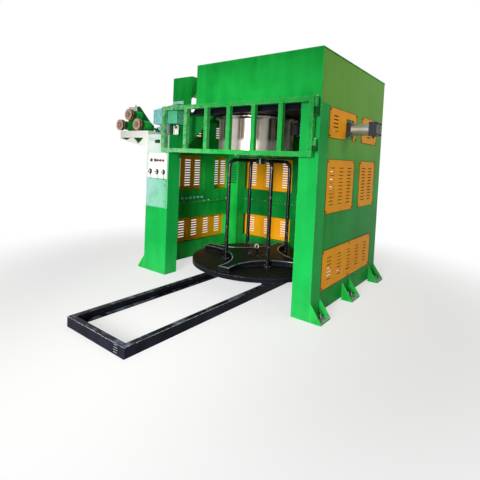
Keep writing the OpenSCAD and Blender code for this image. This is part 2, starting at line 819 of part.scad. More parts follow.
// Four-armed base with scooped sides and a lifting eye
arm_turn = -84;
arm_half = 70;
scoop_n = 345;
module spider_base() {
    far = (star_r + arm_half) * cos(45);
    wide = (star_r - arm_half) * sin(45);
    scoop_r = (pow(far - scoop_n, 2) + pow(wide, 2)) / (2 * (far - scoop_n));
    eye_z = star_t + 105;
    color(frame_black) translate([axis_x, park_y, table_z]) {
        linear_extrude(star_t) rotate(arm_turn) difference() {
            circle(r = sqrt(pow(star_r, 2) + pow(arm_half, 2)), $fn = 96);
            for (a = [45 : 90 : 315]) rotate(a)
                translate([scoop_n + scoop_r, 0]) circle(r = scoop_r, $fn = 96);
            for (a = [0 : 90 : 270]) rotate(a) translate([star_r, -200]) square([200, 400]);
        }
        translate([0, 0, star_t - 1]) cylinder(r = 15, h = eye_z - star_t - 25);
        translate([0, 0, eye_z]) rotate([90, 0, 0]) rotate_extrude()
            translate([28, 0]) circle(r = 7, $fn = 24);
    }
}
// Bent tube legs that meet in a hub above
leg_turn = 52.7;
leg_pad_r = 52;
leg_pad_t = 12;
top_hub_r = 60;
module spider_legs() {
    color(frame_black) translate([axis_x, park_y, 0]) {
        for (k = [0 : 3]) rotate(leg_turn + 90 * k) {
            translate([leg_circle, 0, table_z]) cylinder(r = leg_r, h = cross_z - leg_bend - table_z);
            translate([leg_circle - leg_bend, 0, cross_z - leg_bend]) rotate([90, 0, 0])
                rotate_extrude(angle = 90) translate([leg_bend, 0]) circle(r = leg_r, $fn = 48);
            rotate([0, 90, 0]) translate([-cross_z, 0, 0]) cylinder(r = leg_r, h = leg_circle - leg_bend);
            translate([leg_circle, 0, table_z]) cylinder(r = leg_pad_r, h = leg_pad_t);
        }
        translate([0, 0, cross_z - 40]) cylinder(r = top_hub_r, h = 70);
    }
}

front_columns();
right_wall_lower();
right_wall_upper();
left_wall_lower();
left_wall_upper();
back_wall_lower();
back_wall_upper();
rear_posts();
anchor_feet();
head_box_front();
head_box_sides();
head_box_roof();
deck_plate();
drum_bearing();
left_top_frame();
upper_left_box();
side_covers();
back_covers();
control_panel();
panel_switches();
die_hood();
die_holder();
water_valves();
straightener_bracket();
bearing_housings();
press_cylinder();
cylinder_mount();
gate_hinges();
track_webs();
track_flanges();
gate();
drum();
drum_flange();
drum_shaft();
press_rod();
press_roller();
guide_roller_1();
guide_roller_2();
guide_roller_3();
trolley();
trolley_wheels();
turntable();
turntable_frame();
spider_base();
spider_legs();
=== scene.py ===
# %% [markdown]
# A vertical wire drawing machine, dressed in Blender.
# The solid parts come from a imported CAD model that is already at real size, in metres. This script
# never moves those parts. It gives each one its finish, and adds the small things that a machine
# shop adds last: screws, gaskets, anchor bolts, weld beads, the fittings of the operator panel and
# the details of the rollers and the air cylinder.

# %% Load the solid parts
import json
import math

import bmesh
import bpy
from mathutils import Matrix, Vector


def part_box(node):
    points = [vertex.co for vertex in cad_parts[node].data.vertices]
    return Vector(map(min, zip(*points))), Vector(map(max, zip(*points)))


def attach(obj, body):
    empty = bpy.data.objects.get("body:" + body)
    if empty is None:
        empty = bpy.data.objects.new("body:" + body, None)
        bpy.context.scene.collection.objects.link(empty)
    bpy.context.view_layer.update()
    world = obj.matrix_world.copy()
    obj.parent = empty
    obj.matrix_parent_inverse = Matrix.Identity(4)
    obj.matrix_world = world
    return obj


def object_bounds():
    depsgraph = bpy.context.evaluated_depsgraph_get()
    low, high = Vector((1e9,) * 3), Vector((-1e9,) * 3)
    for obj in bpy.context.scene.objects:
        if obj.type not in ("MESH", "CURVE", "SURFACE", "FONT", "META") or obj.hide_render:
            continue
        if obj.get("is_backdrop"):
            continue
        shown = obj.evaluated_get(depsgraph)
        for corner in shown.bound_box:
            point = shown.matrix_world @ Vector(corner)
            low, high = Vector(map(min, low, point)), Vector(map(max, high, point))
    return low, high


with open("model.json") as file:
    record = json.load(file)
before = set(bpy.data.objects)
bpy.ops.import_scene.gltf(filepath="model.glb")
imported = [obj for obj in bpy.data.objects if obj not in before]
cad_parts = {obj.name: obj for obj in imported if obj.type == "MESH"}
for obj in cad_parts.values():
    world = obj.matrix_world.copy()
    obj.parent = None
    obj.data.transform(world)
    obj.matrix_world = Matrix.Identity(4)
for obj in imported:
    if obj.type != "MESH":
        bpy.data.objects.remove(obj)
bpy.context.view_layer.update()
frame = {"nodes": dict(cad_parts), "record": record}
scene = bpy.context.scene

# %% [markdown]
# The camera stands at the picture's own viewpoint: to the right of the machine's front, at eye height.
# A focal length in millimetres means little without the sensor, so the lens is worked out from the
# focal length in pixels and the width of the picture. The picture was cropped above its middle, and
# the camera's shift does the same crop without turning the camera, so upright edges stay upright.

# %% Camera
FRAME_WIDTH = 480
FOCAL_PIXELS = 375
MIDDLE_OF_LENS = (232.8, 176.3)
EYE = (2.846, -4.365, 1.587)
YAW, PITCH, ROLL = 0.6588, -0.0478, -0.0438

camera = bpy.data.cameras.new("camera")
camera.sensor_width = 36
camera.lens = FOCAL_PIXELS / FRAME_WIDTH * camera.sensor_width
camera.shift_x = 0.5 - MIDDLE_OF_LENS[0] / FRAME_WIDTH
camera.shift_y = MIDDLE_OF_LENS[1] / FRAME_WIDTH - 0.5
camera_object = bpy.data.objects.new("camera", camera)
turn = Matrix.Rotation(YAW, 3, "Z") @ Matrix.Rotation(PITCH, 3, "X") @ Matrix.Rotation(ROLL, 3, "Y")
camera_object.matrix_world = (turn @ Matrix.Rotation(math.radians(90), 3, "X")).to_4x4()
camera_object.location = EYE
scene.collection.objects.link(camera_object)
scene.camera = camera_object
scene.view_settings.view_transform = "Standard"
print("lens in mm:", round(camera.lens, 2))

# %% [markdown]
# Materials and Geometry Nodes are both graphs of small steps. Wiring them by hand takes four lines
# a step, so a graph is written here as arithmetic. A Term stands for one output of a node, and
# adding or multiplying Terms adds a Math node. The reflected forms, such as __rsub__, make
# 1 - mask work as well as mask - 1. One method, node(), makes every other kind of node.

# %% Graphs written as arithmetic


class Term:
    """One output of a node, ready for arithmetic."""

    def __init__(self, graph, socket):
        self.graph = graph
        self.socket = socket

    def other(self, name):
        return Term(self.graph, self.socket.node.outputs[name])

    def __add__(self, other):
        return self.graph.maths("ADD", self, other)

    def __sub__(self, other):
        return self.graph.maths("SUBTRACT", self, other)

    def __rsub__(self, other):
        return self.graph.maths("SUBTRACT", other, self)

    def __mul__(self, other):
        return self.graph.maths("MULTIPLY", self, other)

    def __pow__(self, power):
        return self.graph.maths("POWER", self, power)

    __radd__ = __add__
    __rmul__ = __mul__

    def most(self, other):
        return self.graph.maths("MAXIMUM", self, other)


class Graph:
    """A node tree that is written in steps."""

    def __init__(self, tree):
        self.tree = tree

    def node(self, kind, settings=None, inputs=None, output=0):
        made = self.tree.nodes.new(kind)
        for name, value in (settings or {}).items():
            setattr(made, name, value)
        for name, value in (inputs or {}).items():
            self.feed(made.inputs[name], value)
        return Term(self, made.outputs[output])

    def maths(self, operation, *numbers):
        return self.node("ShaderNodeMath", {"operation": operation}, dict(enumerate(numbers)))

    def feed(self, socket, value):
        if isinstance(value, Term):
            self.tree.links.new(value.socket, socket)
        else:
            socket.default_value = value


print("graph helpers ready")

# %% [markdown]
# The small pieces are placed by measuring the CAD solids, so they follow the model if it changes. A CAD
# mesh is loose triangles, so a copy is merged first. islands() then gives one box for each separate
# solid of a node. loops_on() gives the closed outlines on one face: the sharp edges whose points all
# pass a test. It finds a cover's edge, its slots, and the outline of the carrier's base.

# %% Measuring the solids
RIGHT, BACK, UP = Vector((1, 0, 0)), Vector((0, 1, 0)), Vector((0, 0, 1))
FRONT = -BACK
TOUCH = 1e-4


def merged(node_name):
    shape = bmesh.new()
    shape.from_mesh(frame["nodes"][node_name].data)
    bmesh.ops.remove_doubles(shape, verts=shape.verts, dist=TOUCH / 10)
    return shape


def box_of(points):
    return (Vector([min(p[i] for p in points) for i in range(3)]),
            Vector([max(p[i] for p in points) for i in range(3)]))


def middle(node_name):
    low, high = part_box(node_name)
    return (low + high) / 2


def islands(node_name):
    shape = merged(node_name)
    boxes, waiting = [], set(shape.verts)
    while waiting:
        group, reached = [], [waiting.pop()]
        while reached:
            vert = reached.pop()
            group.append(vert.co.copy())
            for edge in vert.link_edges:
                near = edge.other_vert(vert)
                if near in waiting:
                    waiting.remove(near)
                    reached.append(near)
        boxes.append(box_of(group))
    shape.free()
    return sorted(boxes, key=lambda box: tuple(box[0]))


def loops_on(node_name, keeps):
    shape = merged(node_name)
    beside = {}
    for edge in shape.edges:
        if edge.calc_face_angle(0) > 1.0 and all(keeps(vert.co) for vert in edge.verts):
            for vert in edge.verts:
                beside.setdefault(vert, []).append(edge.other_vert(vert))
    loops = []
    while beside:
        loop, here = [], next(iter(beside))
        while here is not None:
            loop.append(here.co.copy())
            here = next((vert for vert in beside.pop(here) if vert in beside), None)
        loops.append(loop)
    shape.free()
    return loops


column_low, column_high = islands("front_columns")[0]
print("left column:", [round(value, 3) for value in (*column_low, *column_high)])

# %% [markdown]
# A Finish is a graph that ends in the Principled shader. Patterns read Object coordinates, and every
# piece sits at the origin, so one scale of grain runs over the whole machine. Colours are written as
# sRGB values from 0 to 255, the way a paint chart gives them, and turned into linear light here.
# Each finish is kept in one dictionary by its name.

# %% Finishes
finishes = {}


def paint(red, green, blue):
    def linear(value):
        value /= 255
        return value / 12.92 if value <= 0.04045 else ((value + 0.055) / 1.055) ** 2.4

    return (linear(red), linear(green), linear(blue), 1)


class Finish(Graph):
    """A material in the making."""

    def __init__(self, name, specular=0.5):
        self.material = bpy.data.materials.new(name)
        self.material.use_nodes = True
        super().__init__(self.material.node_tree)
        self.shader = self.tree.nodes["Principled BSDF"]
        self.shader.inputs["Specular IOR Level"].default_value = specular
        self.point = self.node("ShaderNodeTexCoord", output="Object")
        self.x = self.node("ShaderNodeSeparateXYZ", inputs={0: self.point})
        self.y, self.z = self.x.other(1), self.x.other(2)
        finishes[name] = self

    def wear(self, **sockets):
        for name, value in sockets.items():
            self.feed(self.shader.inputs[name.replace("_", " ")], value)

    def noise(self, scale, detail=2.0, rough=0.5, stretch=(1, 1, 1)):
        grain = self.node("ShaderNodeMapping", inputs={"Vector": self.point, "Scale": stretch})
        return self.node("ShaderNodeTexNoise", inputs={
            "Vector": grain, "Scale": scale, "Detail": detail, "Roughness": rough})

    def ramp(self, value, low, high, start=0.0, end=1.0):
        return self.node("ShaderNodeMapRange", {"interpolation_type": "SMOOTHSTEP"}, {
            0: value, 1: low, 2: high, 3: start, 4: end})

    def patches(self, scale, detail, rough, *limits):
        """Noise cut into patches between two limits."""
        return self.ramp(self.noise(scale, detail, rough), *limits)

    def mix(self, amount, first, second):
        return self.node("ShaderNodeMix", {"data_type": "RGBA"}, {0: amount, 6: first, 7: second}, output=2)

    def recolour(self, amount, colour):
        """Mixes one more colour over what the shader has now."""
        before = Term(self, self.shader.inputs["Base Color"].links[0].from_socket)
        self.wear(Base_Color=self.mix(amount, before, colour))

    def alike(self, way):
        """How far the surface's own direction agrees with another one."""
        normal = self.node("ShaderNodeNewGeometry", output="Normal")
        return self.node("ShaderNodeVectorMath", {"operation": "DOT_PRODUCT"}, {0: normal, 1: way}, output=1)

    def edges(self, radius):
        """1 on sharp edges and 0 on flat faces."""
        rounded_off = self.node("ShaderNodeBevel", {"samples": 4}, {"Radius": radius})
        return self.ramp(self.alike(rounded_off), 0.998, 0.93)

    def facing(self, way):
        """1 where the surface faces the given way."""
        return self.ramp(self.alike(way), 0.75, 0.95)

    def bump(self, height, strength, distance):
        return self.node("ShaderNodeBump", inputs={
            "Height": height, "Strength": strength, "Distance": distance})


print("finish helpers ready")

# %% [markdown]
# The floor is one pale plane. Near the machine part of what shows is a real surface, so it takes a soft
# shadow. Further out the camera, mirrors and glass see it as plain white, so it has no horizon. The
# world does the same: it lights the machine at a plain level, and what is seen of it is white.

# %% Floor and world
WHITE = (1, 1, 1, 1)
FLOOR_SIZE = 60
FLOOR_DROP = 0.002
FLOOR_MIDDLE = -0.4
SHADOW_ENDS = (2.2, 4.5)
SKY_LEVEL = 0.25
FLOOR_WHITE = 0.6


def seen_directly(graph):
    """1 for the rays that look at a surface, and 0 for the rays that only gather light."""
    path = graph.node("ShaderNodeLightPath", output="Is Camera Ray")
    return path.most(path.other("Is Glossy Ray")).most(path.other("Is Transmission Ray"))


def pale_floor():
    bpy.ops.mesh.primitive_plane_add(size=FLOOR_SIZE, location=(0, 0, -FLOOR_DROP))
    floor = bpy.context.object
    floor.name = "floor"
    finish = Finish("floor", specular=0.2)
    finish.wear(Base_Color=paint(247, 247, 246), Roughness=0.9)
    away = (finish.x ** 2 + (finish.y - FLOOR_MIDDLE) ** 2) ** 0.5
    blank = finish.ramp(away, *SHADOW_ENDS, FLOOR_WHITE, 1.0) * seen_directly(finish)
    white = finish.node("ShaderNodeEmission", inputs={"Color": WHITE})
    surface = finish.node("ShaderNodeMixShader", inputs={0: blank, 2: white})
    finish.tree.links.new(finish.shader.outputs[0], surface.socket.node.inputs[1])
    finish.feed(finish.tree.nodes["Material Output"].inputs["Surface"], surface)
    floor.data.materials.append(finish.material)
    floor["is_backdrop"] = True


def pale_world():
    world = bpy.data.worlds.new("world")
    scene.world = world
    world.use_nodes = True
    graph = Graph(world.node_tree)
    sky = graph.node("ShaderNodeBackground", inputs={"Color": WHITE, "Strength": SKY_LEVEL})
    seen = graph.node("ShaderNodeBackground", inputs={"Color": WHITE, "Strength": 1.0})
    both = graph.node("ShaderNodeMixShader", inputs={0: seen_directly(graph), 1: sky, 2: seen})
    graph.feed(graph.tree.nodes["World Output"].inputs["Surface"], both)


pale_floor()
pale_world()
print("floor and world ready")

# %% [markdown]
# Three soft lamps. The key lamp stands in front, near the camera's side, so that the flat front sheets
# don't mirror it towards the camera and keep their colour. The right side gets less light than the
# front, as in the picture.

# %% Lamps


def soft_lamp(name, place, aim, size, power, tint=(1, 1, 1), spread=180):
    lamp = bpy.data.lights.new(name, "AREA")
    lamp.shape = "SQUARE"
    lamp.size = size
    lamp.energy = power
    lamp.color = tint
    lamp.spread = math.radians(spread)
    lamp_object = bpy.data.objects.new(name, lamp)
    lamp_object.location = place
    lamp_object.rotation_euler = (Vector(aim) - Vector(place)).to_track_quat("-Z", "Y").to_euler()
    scene.collection.objects.link(lamp_object)


soft_lamp("key", (1.7, -6.8, 1.9), (0.0, -0.995, 0.5), 2.0, 60, spread=50)
soft_lamp("side", (6.0, 1.5, 5.0), (1.27, 0, 2.9), 2.4, 15, (1, 0.84, 0.45), spread=62)
soft_lamp("top", (-1.5, 0.8, 7.0), (0, 0, 1.0), 5.0, 60)

# %% [markdown]
# Machine enamel is a sprayed coat: nearly even in colour, with slow clouds where it went on thicker, an
# orange-peel skin, faint runs down upright sheets, dust where it lies flat or near the floor, and
# chips on the edges that hands and tools reach. All of these are masks between 0 and 1, and each
# mixes one colour into the last. The same recipe makes every painted colour on the machine.

# %% Enamel
DUST = paint(150, 146, 134)
GREEN = (paint(30, 186, 74), paint(12, 150, 52), paint(130, 200, 140))
ORANGE = (paint(252, 172, 20), paint(243, 160, 16), paint(206, 130, 34))


def enamel(name, coat, shade, chip=paint(96, 100, 98), gloss=0.34, chips=0.55, dust=0.12, specular=0.04):
    finish = Finish(name, specular)
    cloud = finish.noise(1.6, 3, 0.55)
    runs = finish.noise(9, 2, 0.5, stretch=(1, 1, 0.12))
    colour = finish.mix(finish.ramp(cloud * 0.7 + runs * 0.3, 0.36, 0.66), coat, shade)
    low_down = finish.ramp(finish.z, 0.45, 0.0)
    settled = (low_down * 0.6 + finish.facing(UP) * 0.7) * finish.patches(14, 4, 0.6, 0.3, 0.7)
    dusty = settled * dust
    chipped = finish.edges(0.004) * finish.patches(38, 4, 0.7, 0.42, 0.6) * chips
    colour = finish.mix(chipped, finish.mix(dusty, colour, DUST), chip)
    peel = finish.noise(260, 2, 0.4) * 0.5 + finish.noise(7, 2, 0.5)
    finish.wear(Base_Color=colour, Roughness=gloss + cloud * 0.1 + dusty * 0.6 + chipped * 0.15,
                Normal=finish.bump(peel, 0.12, 0.0012))
    return finish


enamel("green_paint", *GREEN, chips=0.7)
enamel("orange_paint", *ORANGE, chips=0.4)
enamel("black_paint", paint(8, 9, 14), paint(20, 22, 32), paint(140, 142, 150), gloss=0.28, chips=0.8,
       dust=0.01, specular=0.05)
enamel("white_paint", paint(246, 243, 236), paint(238, 235, 230), paint(150, 148, 140))
# green_shadow is a dark copy of the green: painted shade on the hinges, stitches, needle valves, drain cock
# and web lining. Its pale edge chips are partly wear and partly painted highlight.
enamel("green_shadow", paint(12, 84, 36), paint(9, 66, 28), paint(190, 220, 190), chips=0.9, dust=0.05)
# The inner green is a darker copy that paints the shade inside the machine.
enamel("inner_green", paint(18, 124, 48), paint(14, 104, 40), dust=0.05)
# The pale blue is a painted sheen.
enamel("pale_blue_paint", paint(206, 228, 230), paint(176, 210, 214))
print("finishes:", ", ".join(finishes))

# %% [markdown]
# The black parts wear in their own ways. The round bar is rubbed bright on top, and that pale top is
# partly a painted highlight. The rails keep a grey bloom, the turntable gathers brown dust on its left
# half, the lifting eye on the base is bare, and the legs have small knocks. A new shader for each would
# be a lot to keep in step, so each is the same enamel with one more colour over it.

# %% Worn black parts
EYE_FOOT = 0.400
CLEAN_TABLE, DUSTY_TABLE = 0.1, -0.7

bar_paint = enamel("worn_black_bar", paint(10, 11, 16), paint(18, 20, 26), gloss=0.2, dust=0, specular=0.5)
# The pale top of the bar is partly rubbed wear and partly a painted highlight.
rubbed_and_highlit = bar_paint.facing(UP) * bar_paint.patches(9, 4, 0.7, 0.36, 0.48)
bar_paint.recolour(rubbed_and_highlit * 0.95, paint(214, 214, 216))

rail_paint = enamel("worn_black_rail", paint(8, 9, 14), paint(26, 28, 42), dust=0, specular=0.05)
bloom = rail_paint.facing(UP) * rail_paint.patches(5, 5, 0.7, 0.45, 0.62)
rail_paint.recolour(bloom * 0.6, paint(122, 132, 150))

table_paint = enamel("dusty_black_table", paint(9, 9, 12), paint(15, 16, 20), dust=0.02, specular=0.05)
brown = table_paint.facing(UP) * table_paint.ramp(table_paint.x, CLEAN_TABLE, DUSTY_TABLE)
table_paint.recolour(brown * table_paint.patches(6, 5, 0.7, 0.35, 0.65), paint(52, 38, 27))

base_paint = enamel("base_black", paint(9, 10, 14), paint(18, 20, 27), paint(150, 152, 156), dust=0.005,
                    specular=0.05)
base_paint.recolour(base_paint.ramp(base_paint.z, EYE_FOOT, EYE_FOOT + 0.015) * 0.85, paint(176, 178, 176))

leg_paint = enamel("leg_black", paint(8, 8, 11), paint(14, 15, 19), dust=0, specular=0.35, gloss=0.2)
leg_paint.recolour(leg_paint.patches(34, 3, 0.6, 0.60, 0.66) * 0.6, paint(128, 120, 112))
print("the lifting eye is bare from z", EYE_FOOT, "up")

# %% [markdown]
# One green and one orange look different by place. The feet are scuffed on top. High up the right side
# carries a painted warm sheen towards olive, and low down a painted shade keeps it deeper. The back wall
# and its covers carry painted shade on the faces that look into the machine, and so does the inside of
# the slots in the rear posts, which a mask finds by its depth behind the post's face. Masks by place do
# this without cutting a solid in two.

# %% Paint, painted sheen and painted shade by place
SHEEN_FROM, SHEEN_FULL = 1.35, 2.25
SHADE_FROM, SHADE_FULL = 1.30, 0.95
SLOT_HALF = 0.076
SHADED_X, SHADED_Z = (-0.2, 0.9), (0.5, 1.2)

foot_paint = enamel("foot_green", *GREEN[:2], paint(150, 205, 165), chips=0.9)
scuffed = foot_paint.facing(UP) * foot_paint.patches(11, 4, 0.7, 0.3, 0.5)
foot_paint.recolour(scuffed * 0.8, paint(186, 210, 206))

side_paint = enamel("side_green_paint", *GREEN, chips=0.7)
outside = side_paint.facing(RIGHT)
# High up the right side gets a painted warm sheen towards olive, and low down a painted shade.
warm_sheen = side_paint.ramp(side_paint.z + side_paint.noise(1.2, 3, 0.5) * 0.5, SHEEN_FROM, SHEEN_FULL)
side_paint.recolour(warm_sheen * outside * 0.75, paint(118, 172, 62))
side_paint.recolour(side_paint.ramp(side_paint.z, SHADE_FROM, SHADE_FULL) * outside * 0.5, paint(10, 118, 40))

post_low, post_high = islands("rear_posts")[1]
post_paint = enamel("post_green", *GREEN, chips=0.7)
from_middle = post_paint.maths("ABSOLUTE", post_paint.x) - (post_low.x + post_high.x) / 2
# The inside of each slot is painted dark: painted shade in the recess.
slot_shade = (post_paint.ramp(post_paint.y, post_low.y + 0.001, post_low.y + 0.003)
           * post_paint.ramp(post_paint.maths("ABSOLUTE", from_middle), SLOT_HALF, SLOT_HALF - 0.001))
post_paint.recolour(slot_shade * 0.9, paint(6, 58, 24))

back_paint = enamel("back_green", *GREEN, chips=0.7)
# The back wall's inner faces get patches of painted shade.
back_paint.recolour(back_paint.facing(FRONT) * back_paint.patches(2.2, 4, 0.6, 0.2, 0.7, 0.45, 0.8),
                    paint(10, 84, 34))
cover_paint = enamel("back_orange", *ORANGE, chips=0.4)
# The back covers' inner faces get painted shade, more to the right and high up.
shaded = (cover_paint.facing(FRONT) * cover_paint.ramp(cover_paint.x, *SHADED_X, 0.25, 0.75)
          * cover_paint.ramp(cover_paint.z, *SHADED_Z, 0.6, 1.0))
cover_paint.recolour(shaded, paint(120, 74, 26))
print("rear post's face at y", round(post_low.y, 3))

# %% [markdown]
# The left column's front carries a painted pale sheen above the seam of the housing, and a painted glare
# high up on the left. The hood of the dies carries the same painted sheen, mottled pale blue. The gate's
# coat is a darker green for painted shade, and its pale patches are partly rubbing where hands open it and
# partly painted highlight. The straightener's bracket has two colours on one solid: its front and a strip
# at the plate's top are pale with painted glare, and the rest of the plate is dark green with painted shade.

# %% Painted sheen, glare, highlights and shade on enamel
SEAM_HEIGHT = 0.890
GLARE_FROM, GLARE_FULL = 1.45, 1.72
HOOD_SHEEN_LOW, HOOD_SHEEN_FULL = -0.80, -1.02
GATE_FRESH, GATE_RUBBED_HIGHLIT = 0.2, -0.80
PLATE_DEPTH, PALE_TOP, PALE_WIDTH = 0.04, 0.04, 0.19

# The pale teal above the seam and the near-white high up on the left are painted sheen and glare.
pale_sheen = enamel("green_paint_chalky", paint(26, 176, 78), paint(20, 156, 66), paint(170, 205, 180))
leftward = (pale_sheen.ramp(pale_sheen.x, column_high.x + 0.1, column_low.x + 0.05, 0.25, 1.0)
            * pale_sheen.ramp(pale_sheen.x, 0.1, 0.0))
sheen_front = leftward * pale_sheen.facing(FRONT)
above_seam = pale_sheen.ramp(pale_sheen.z, SEAM_HEIGHT - 0.01, SEAM_HEIGHT)
blotches = pale_sheen.patches(3.0, 4, 0.6, 0.28, 0.58, 0.35, 1.0)
pale_sheen.recolour(above_seam * sheen_front * blotches * 0.85, paint(168, 212, 208))
painted_glare = pale_sheen.ramp(pale_sheen.z, GLARE_FROM, GLARE_FULL) * sheen_front
pale_sheen.recolour(painted_glare * pale_sheen.patches(12, 4, 0.6, 0.3, 0.5, 0.5, 1.0) * 0.85, paint(238, 242, 236))

# The hood's mottled pale blue towards the left is a painted sheen.
hood = enamel("hood_paint", paint(58, 182, 112), paint(36, 158, 88), paint(200, 226, 220), chips=0.9)
mottled_sheen = hood.patches(26, 5, 0.7, 0.36, 0.62, 0.45, 1.0)
hood.recolour(hood.ramp(hood.x, HOOD_SHEEN_LOW, HOOD_SHEEN_FULL, 0.3, 1.0) * mottled_sheen, paint(152, 208, 222))

# The gate's darker green is painted shade; its pale patches are partly rubbing and partly painted highlight.
gate = enamel("gate_paint", paint(20, 162, 62), paint(14, 140, 52), paint(150, 214, 160), chips=0.9)
gate_rubbed_and_highlit = gate.ramp(gate.x, GATE_FRESH, GATE_RUBBED_HIGHLIT, 0.12, 1.0) * gate.patches(18, 4, 0.7, 0.35, 0.6)
gate.recolour(gate_rubbed_and_highlit * 0.62, paint(150, 204, 160))

bracket_low, bracket_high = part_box("straightener_bracket")
bracket = enamel("pale_green_paint", paint(250, 250, 243), paint(240, 242, 230), paint(120, 150, 128))
plate_front, pale_foot = bracket_high.y - PLATE_DEPTH, bracket_high.z - PALE_TOP
behind = bracket.ramp(bracket.y, plate_front - 0.01, plate_front)
below_top = bracket.ramp(bracket.z, pale_foot, pale_foot - 0.05)
right_of_top = bracket.ramp(bracket.x, bracket_low.x + PALE_WIDTH, bracket_low.x + PALE_WIDTH + 0.02)
# The pale front is painted glare, and the dark green over the rest of the plate is painted shade.
bracket.recolour(behind * below_top.most(right_of_top), paint(14, 92, 44))
print("chalky paint from z", SEAM_HEIGHT, "up")

# %% [markdown]
# Metals. Turning leaves fine rings, so on a turned part the grain is stretched far around the axis and
# changes fast with height. The polished drum carries painted reflections: pale upright bands laid out by
# the angle round its axis, a cosine with eight waves broken up by fine noise, and dark brown streaks
# between them. Its foot is milky from use.

# %% Metals
BANDS, FIRST_BAND = 8, math.radians(-88)
FOOT_WEAR = (0.20, 0.14)
ALONG_AXIS = (1, 1, 0.02)
drum_low, drum_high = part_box("drum")
drum_centre = middle("drum")


def metal(name, bright, dull, gloss, grain=(1, 1, 60)):
    finish = Finish(name)
    cloud = finish.noise(11, 4, 0.6)
    lines = finish.noise(22, 3, 0.6, stretch=grain)
    finish.wear(Base_Color=finish.mix(finish.ramp(cloud * 0.6 + lines * 0.4, 0.35, 0.68), bright, dull),
                Metallic=0.95, Roughness=gloss + cloud * 0.12 + lines * 0.08,
                Normal=finish.bump(lines, 0.1, 0.0006))
    return finish


steel = metal("polished_steel", paint(202, 193, 183), paint(160, 150, 140), 0.3, grain=(0.4, 0.4, 80))
# Painted reflections: pale bands by angle round the axis, dark streaks between; the milky foot is wear.
angle = steel.maths("ARCTAN2", steel.y - drum_centre.y, steel.x - drum_centre.x)
wave = steel.maths("COSINE", (angle - FIRST_BAND) * BANDS)
band_breakup = steel.noise(26, 3, 0.65, ALONG_AXIS)
band_reflection = steel.ramp(wave + band_breakup * 1.4, 1.15, 1.75)
foot_wear = steel.ramp(steel.z, drum_low.z + FOOT_WEAR[0], drum_low.z + FOOT_WEAR[1])
uneven = steel.noise(6, 3, 0.6, ALONG_AXIS) * 0.6 + band_breakup * 0.4
dark_reflection_streaks = steel.ramp(uneven, 0.45, 0.54) * (1 - band_reflection * 0.7) * (1 - foot_wear * 0.7)
steel.recolour(dark_reflection_streaks * 0.9, paint(70, 56, 48))
wear_and_band_reflection = (band_reflection * 0.8).most(foot_wear * 0.3)
steel.recolour(wear_and_band_reflection * 0.8, paint(226, 216, 206))
steel.wear(Roughness=0.32 + wear_and_band_reflection * 0.14, Metallic=0.95 - wear_and_band_reflection * 0.55)
metal("bare_steel", paint(168, 170, 172), paint(122, 124, 128), 0.3)
metal("valve_metal", paint(222, 226, 222), paint(186, 194, 190), 0.2)
print("metals ready, drum from z", round(drum_low.z, 3), "to", round(drum_high.z, 3))

# %% [markdown]
# Two parts carry two finishes each on one solid. The press rod is chromed, with a black fork at its end.
# The cylinder is a pale tube between dark heads. Each mask is a distance worked out from the part's own
# box. The press roller is plain rubber with a fine grain.

# %% Rod, cylinder and rubber
FORK_LENGTH = 0.095
NEAR_HEAD, FAR_HEAD = 0.050, 0.085
rod_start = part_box("press_rod")[0].x
cylinder_low, cylinder_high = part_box("press_cylinder")

rod = metal("chromed_rod", paint(226, 228, 230), paint(200, 202, 206), 0.1, grain=(60, 1, 1))
rod.recolour(rod.ramp(rod.x, rod_start + FORK_LENGTH + 0.002, rod_start + FORK_LENGTH), paint(18, 18, 20))

tube = Finish("cylinder_metal")
on_tube = (tube.ramp(tube.x, cylinder_low.x + NEAR_HEAD - 0.001, cylinder_low.x + NEAR_HEAD + 0.001)
           * tube.ramp(tube.x, cylinder_high.x - FAR_HEAD + 0.001, cylinder_high.x - FAR_HEAD - 0.001))
smears = tube.patches(16, 4, 0.65, 0.3, 0.7)
worn = tube.edges(0.003) * tube.patches(50, 3, 0.6, 0.4, 0.6) * (1 - on_tube)
heads = tube.mix(worn * 0.6, tube.mix(smears, paint(24, 28, 34), paint(36, 42, 48)), paint(120, 122, 126))
tube.wear(Base_Color=tube.mix(on_tube, heads, tube.mix(smears, paint(190, 190, 182), paint(160, 160, 152))),
          Metallic=0.35 + on_tube * 0.5, Roughness=0.36 + smears * 0.1,
          Normal=tube.bump(tube.noise(240, 2, 0.5), 0.08, 0.0006))

rubber = Finish("roller_rubber", specular=0.3)
rubber_grain = rubber.noise(320, 3, 0.6)
rubber.wear(Base_Color=rubber.mix(rubber_grain, paint(22, 22, 23), paint(38, 38, 39)),
            Roughness=0.72 + rubber_grain * 0.15, Normal=rubber.bump(rubber_grain, 0.2, 0.0006))
print("rod, cylinder and rubber ready")

# %% [markdown]
# The guide rollers' faces are copper coloured from use, with a darker ring round the hub that is
# painted shade for a recess. A pattern that is centred on a piece needs the distance from that piece's
# own axis. The three rollers are alike, so one function makes the finish for each of them from the
# centre of its box.

# %% Guide rollers
ROLLERS = [name for name in frame["nodes"] if name.startswith("guide_roller")]
RECESS_SHADE = (0.030, 0.052)


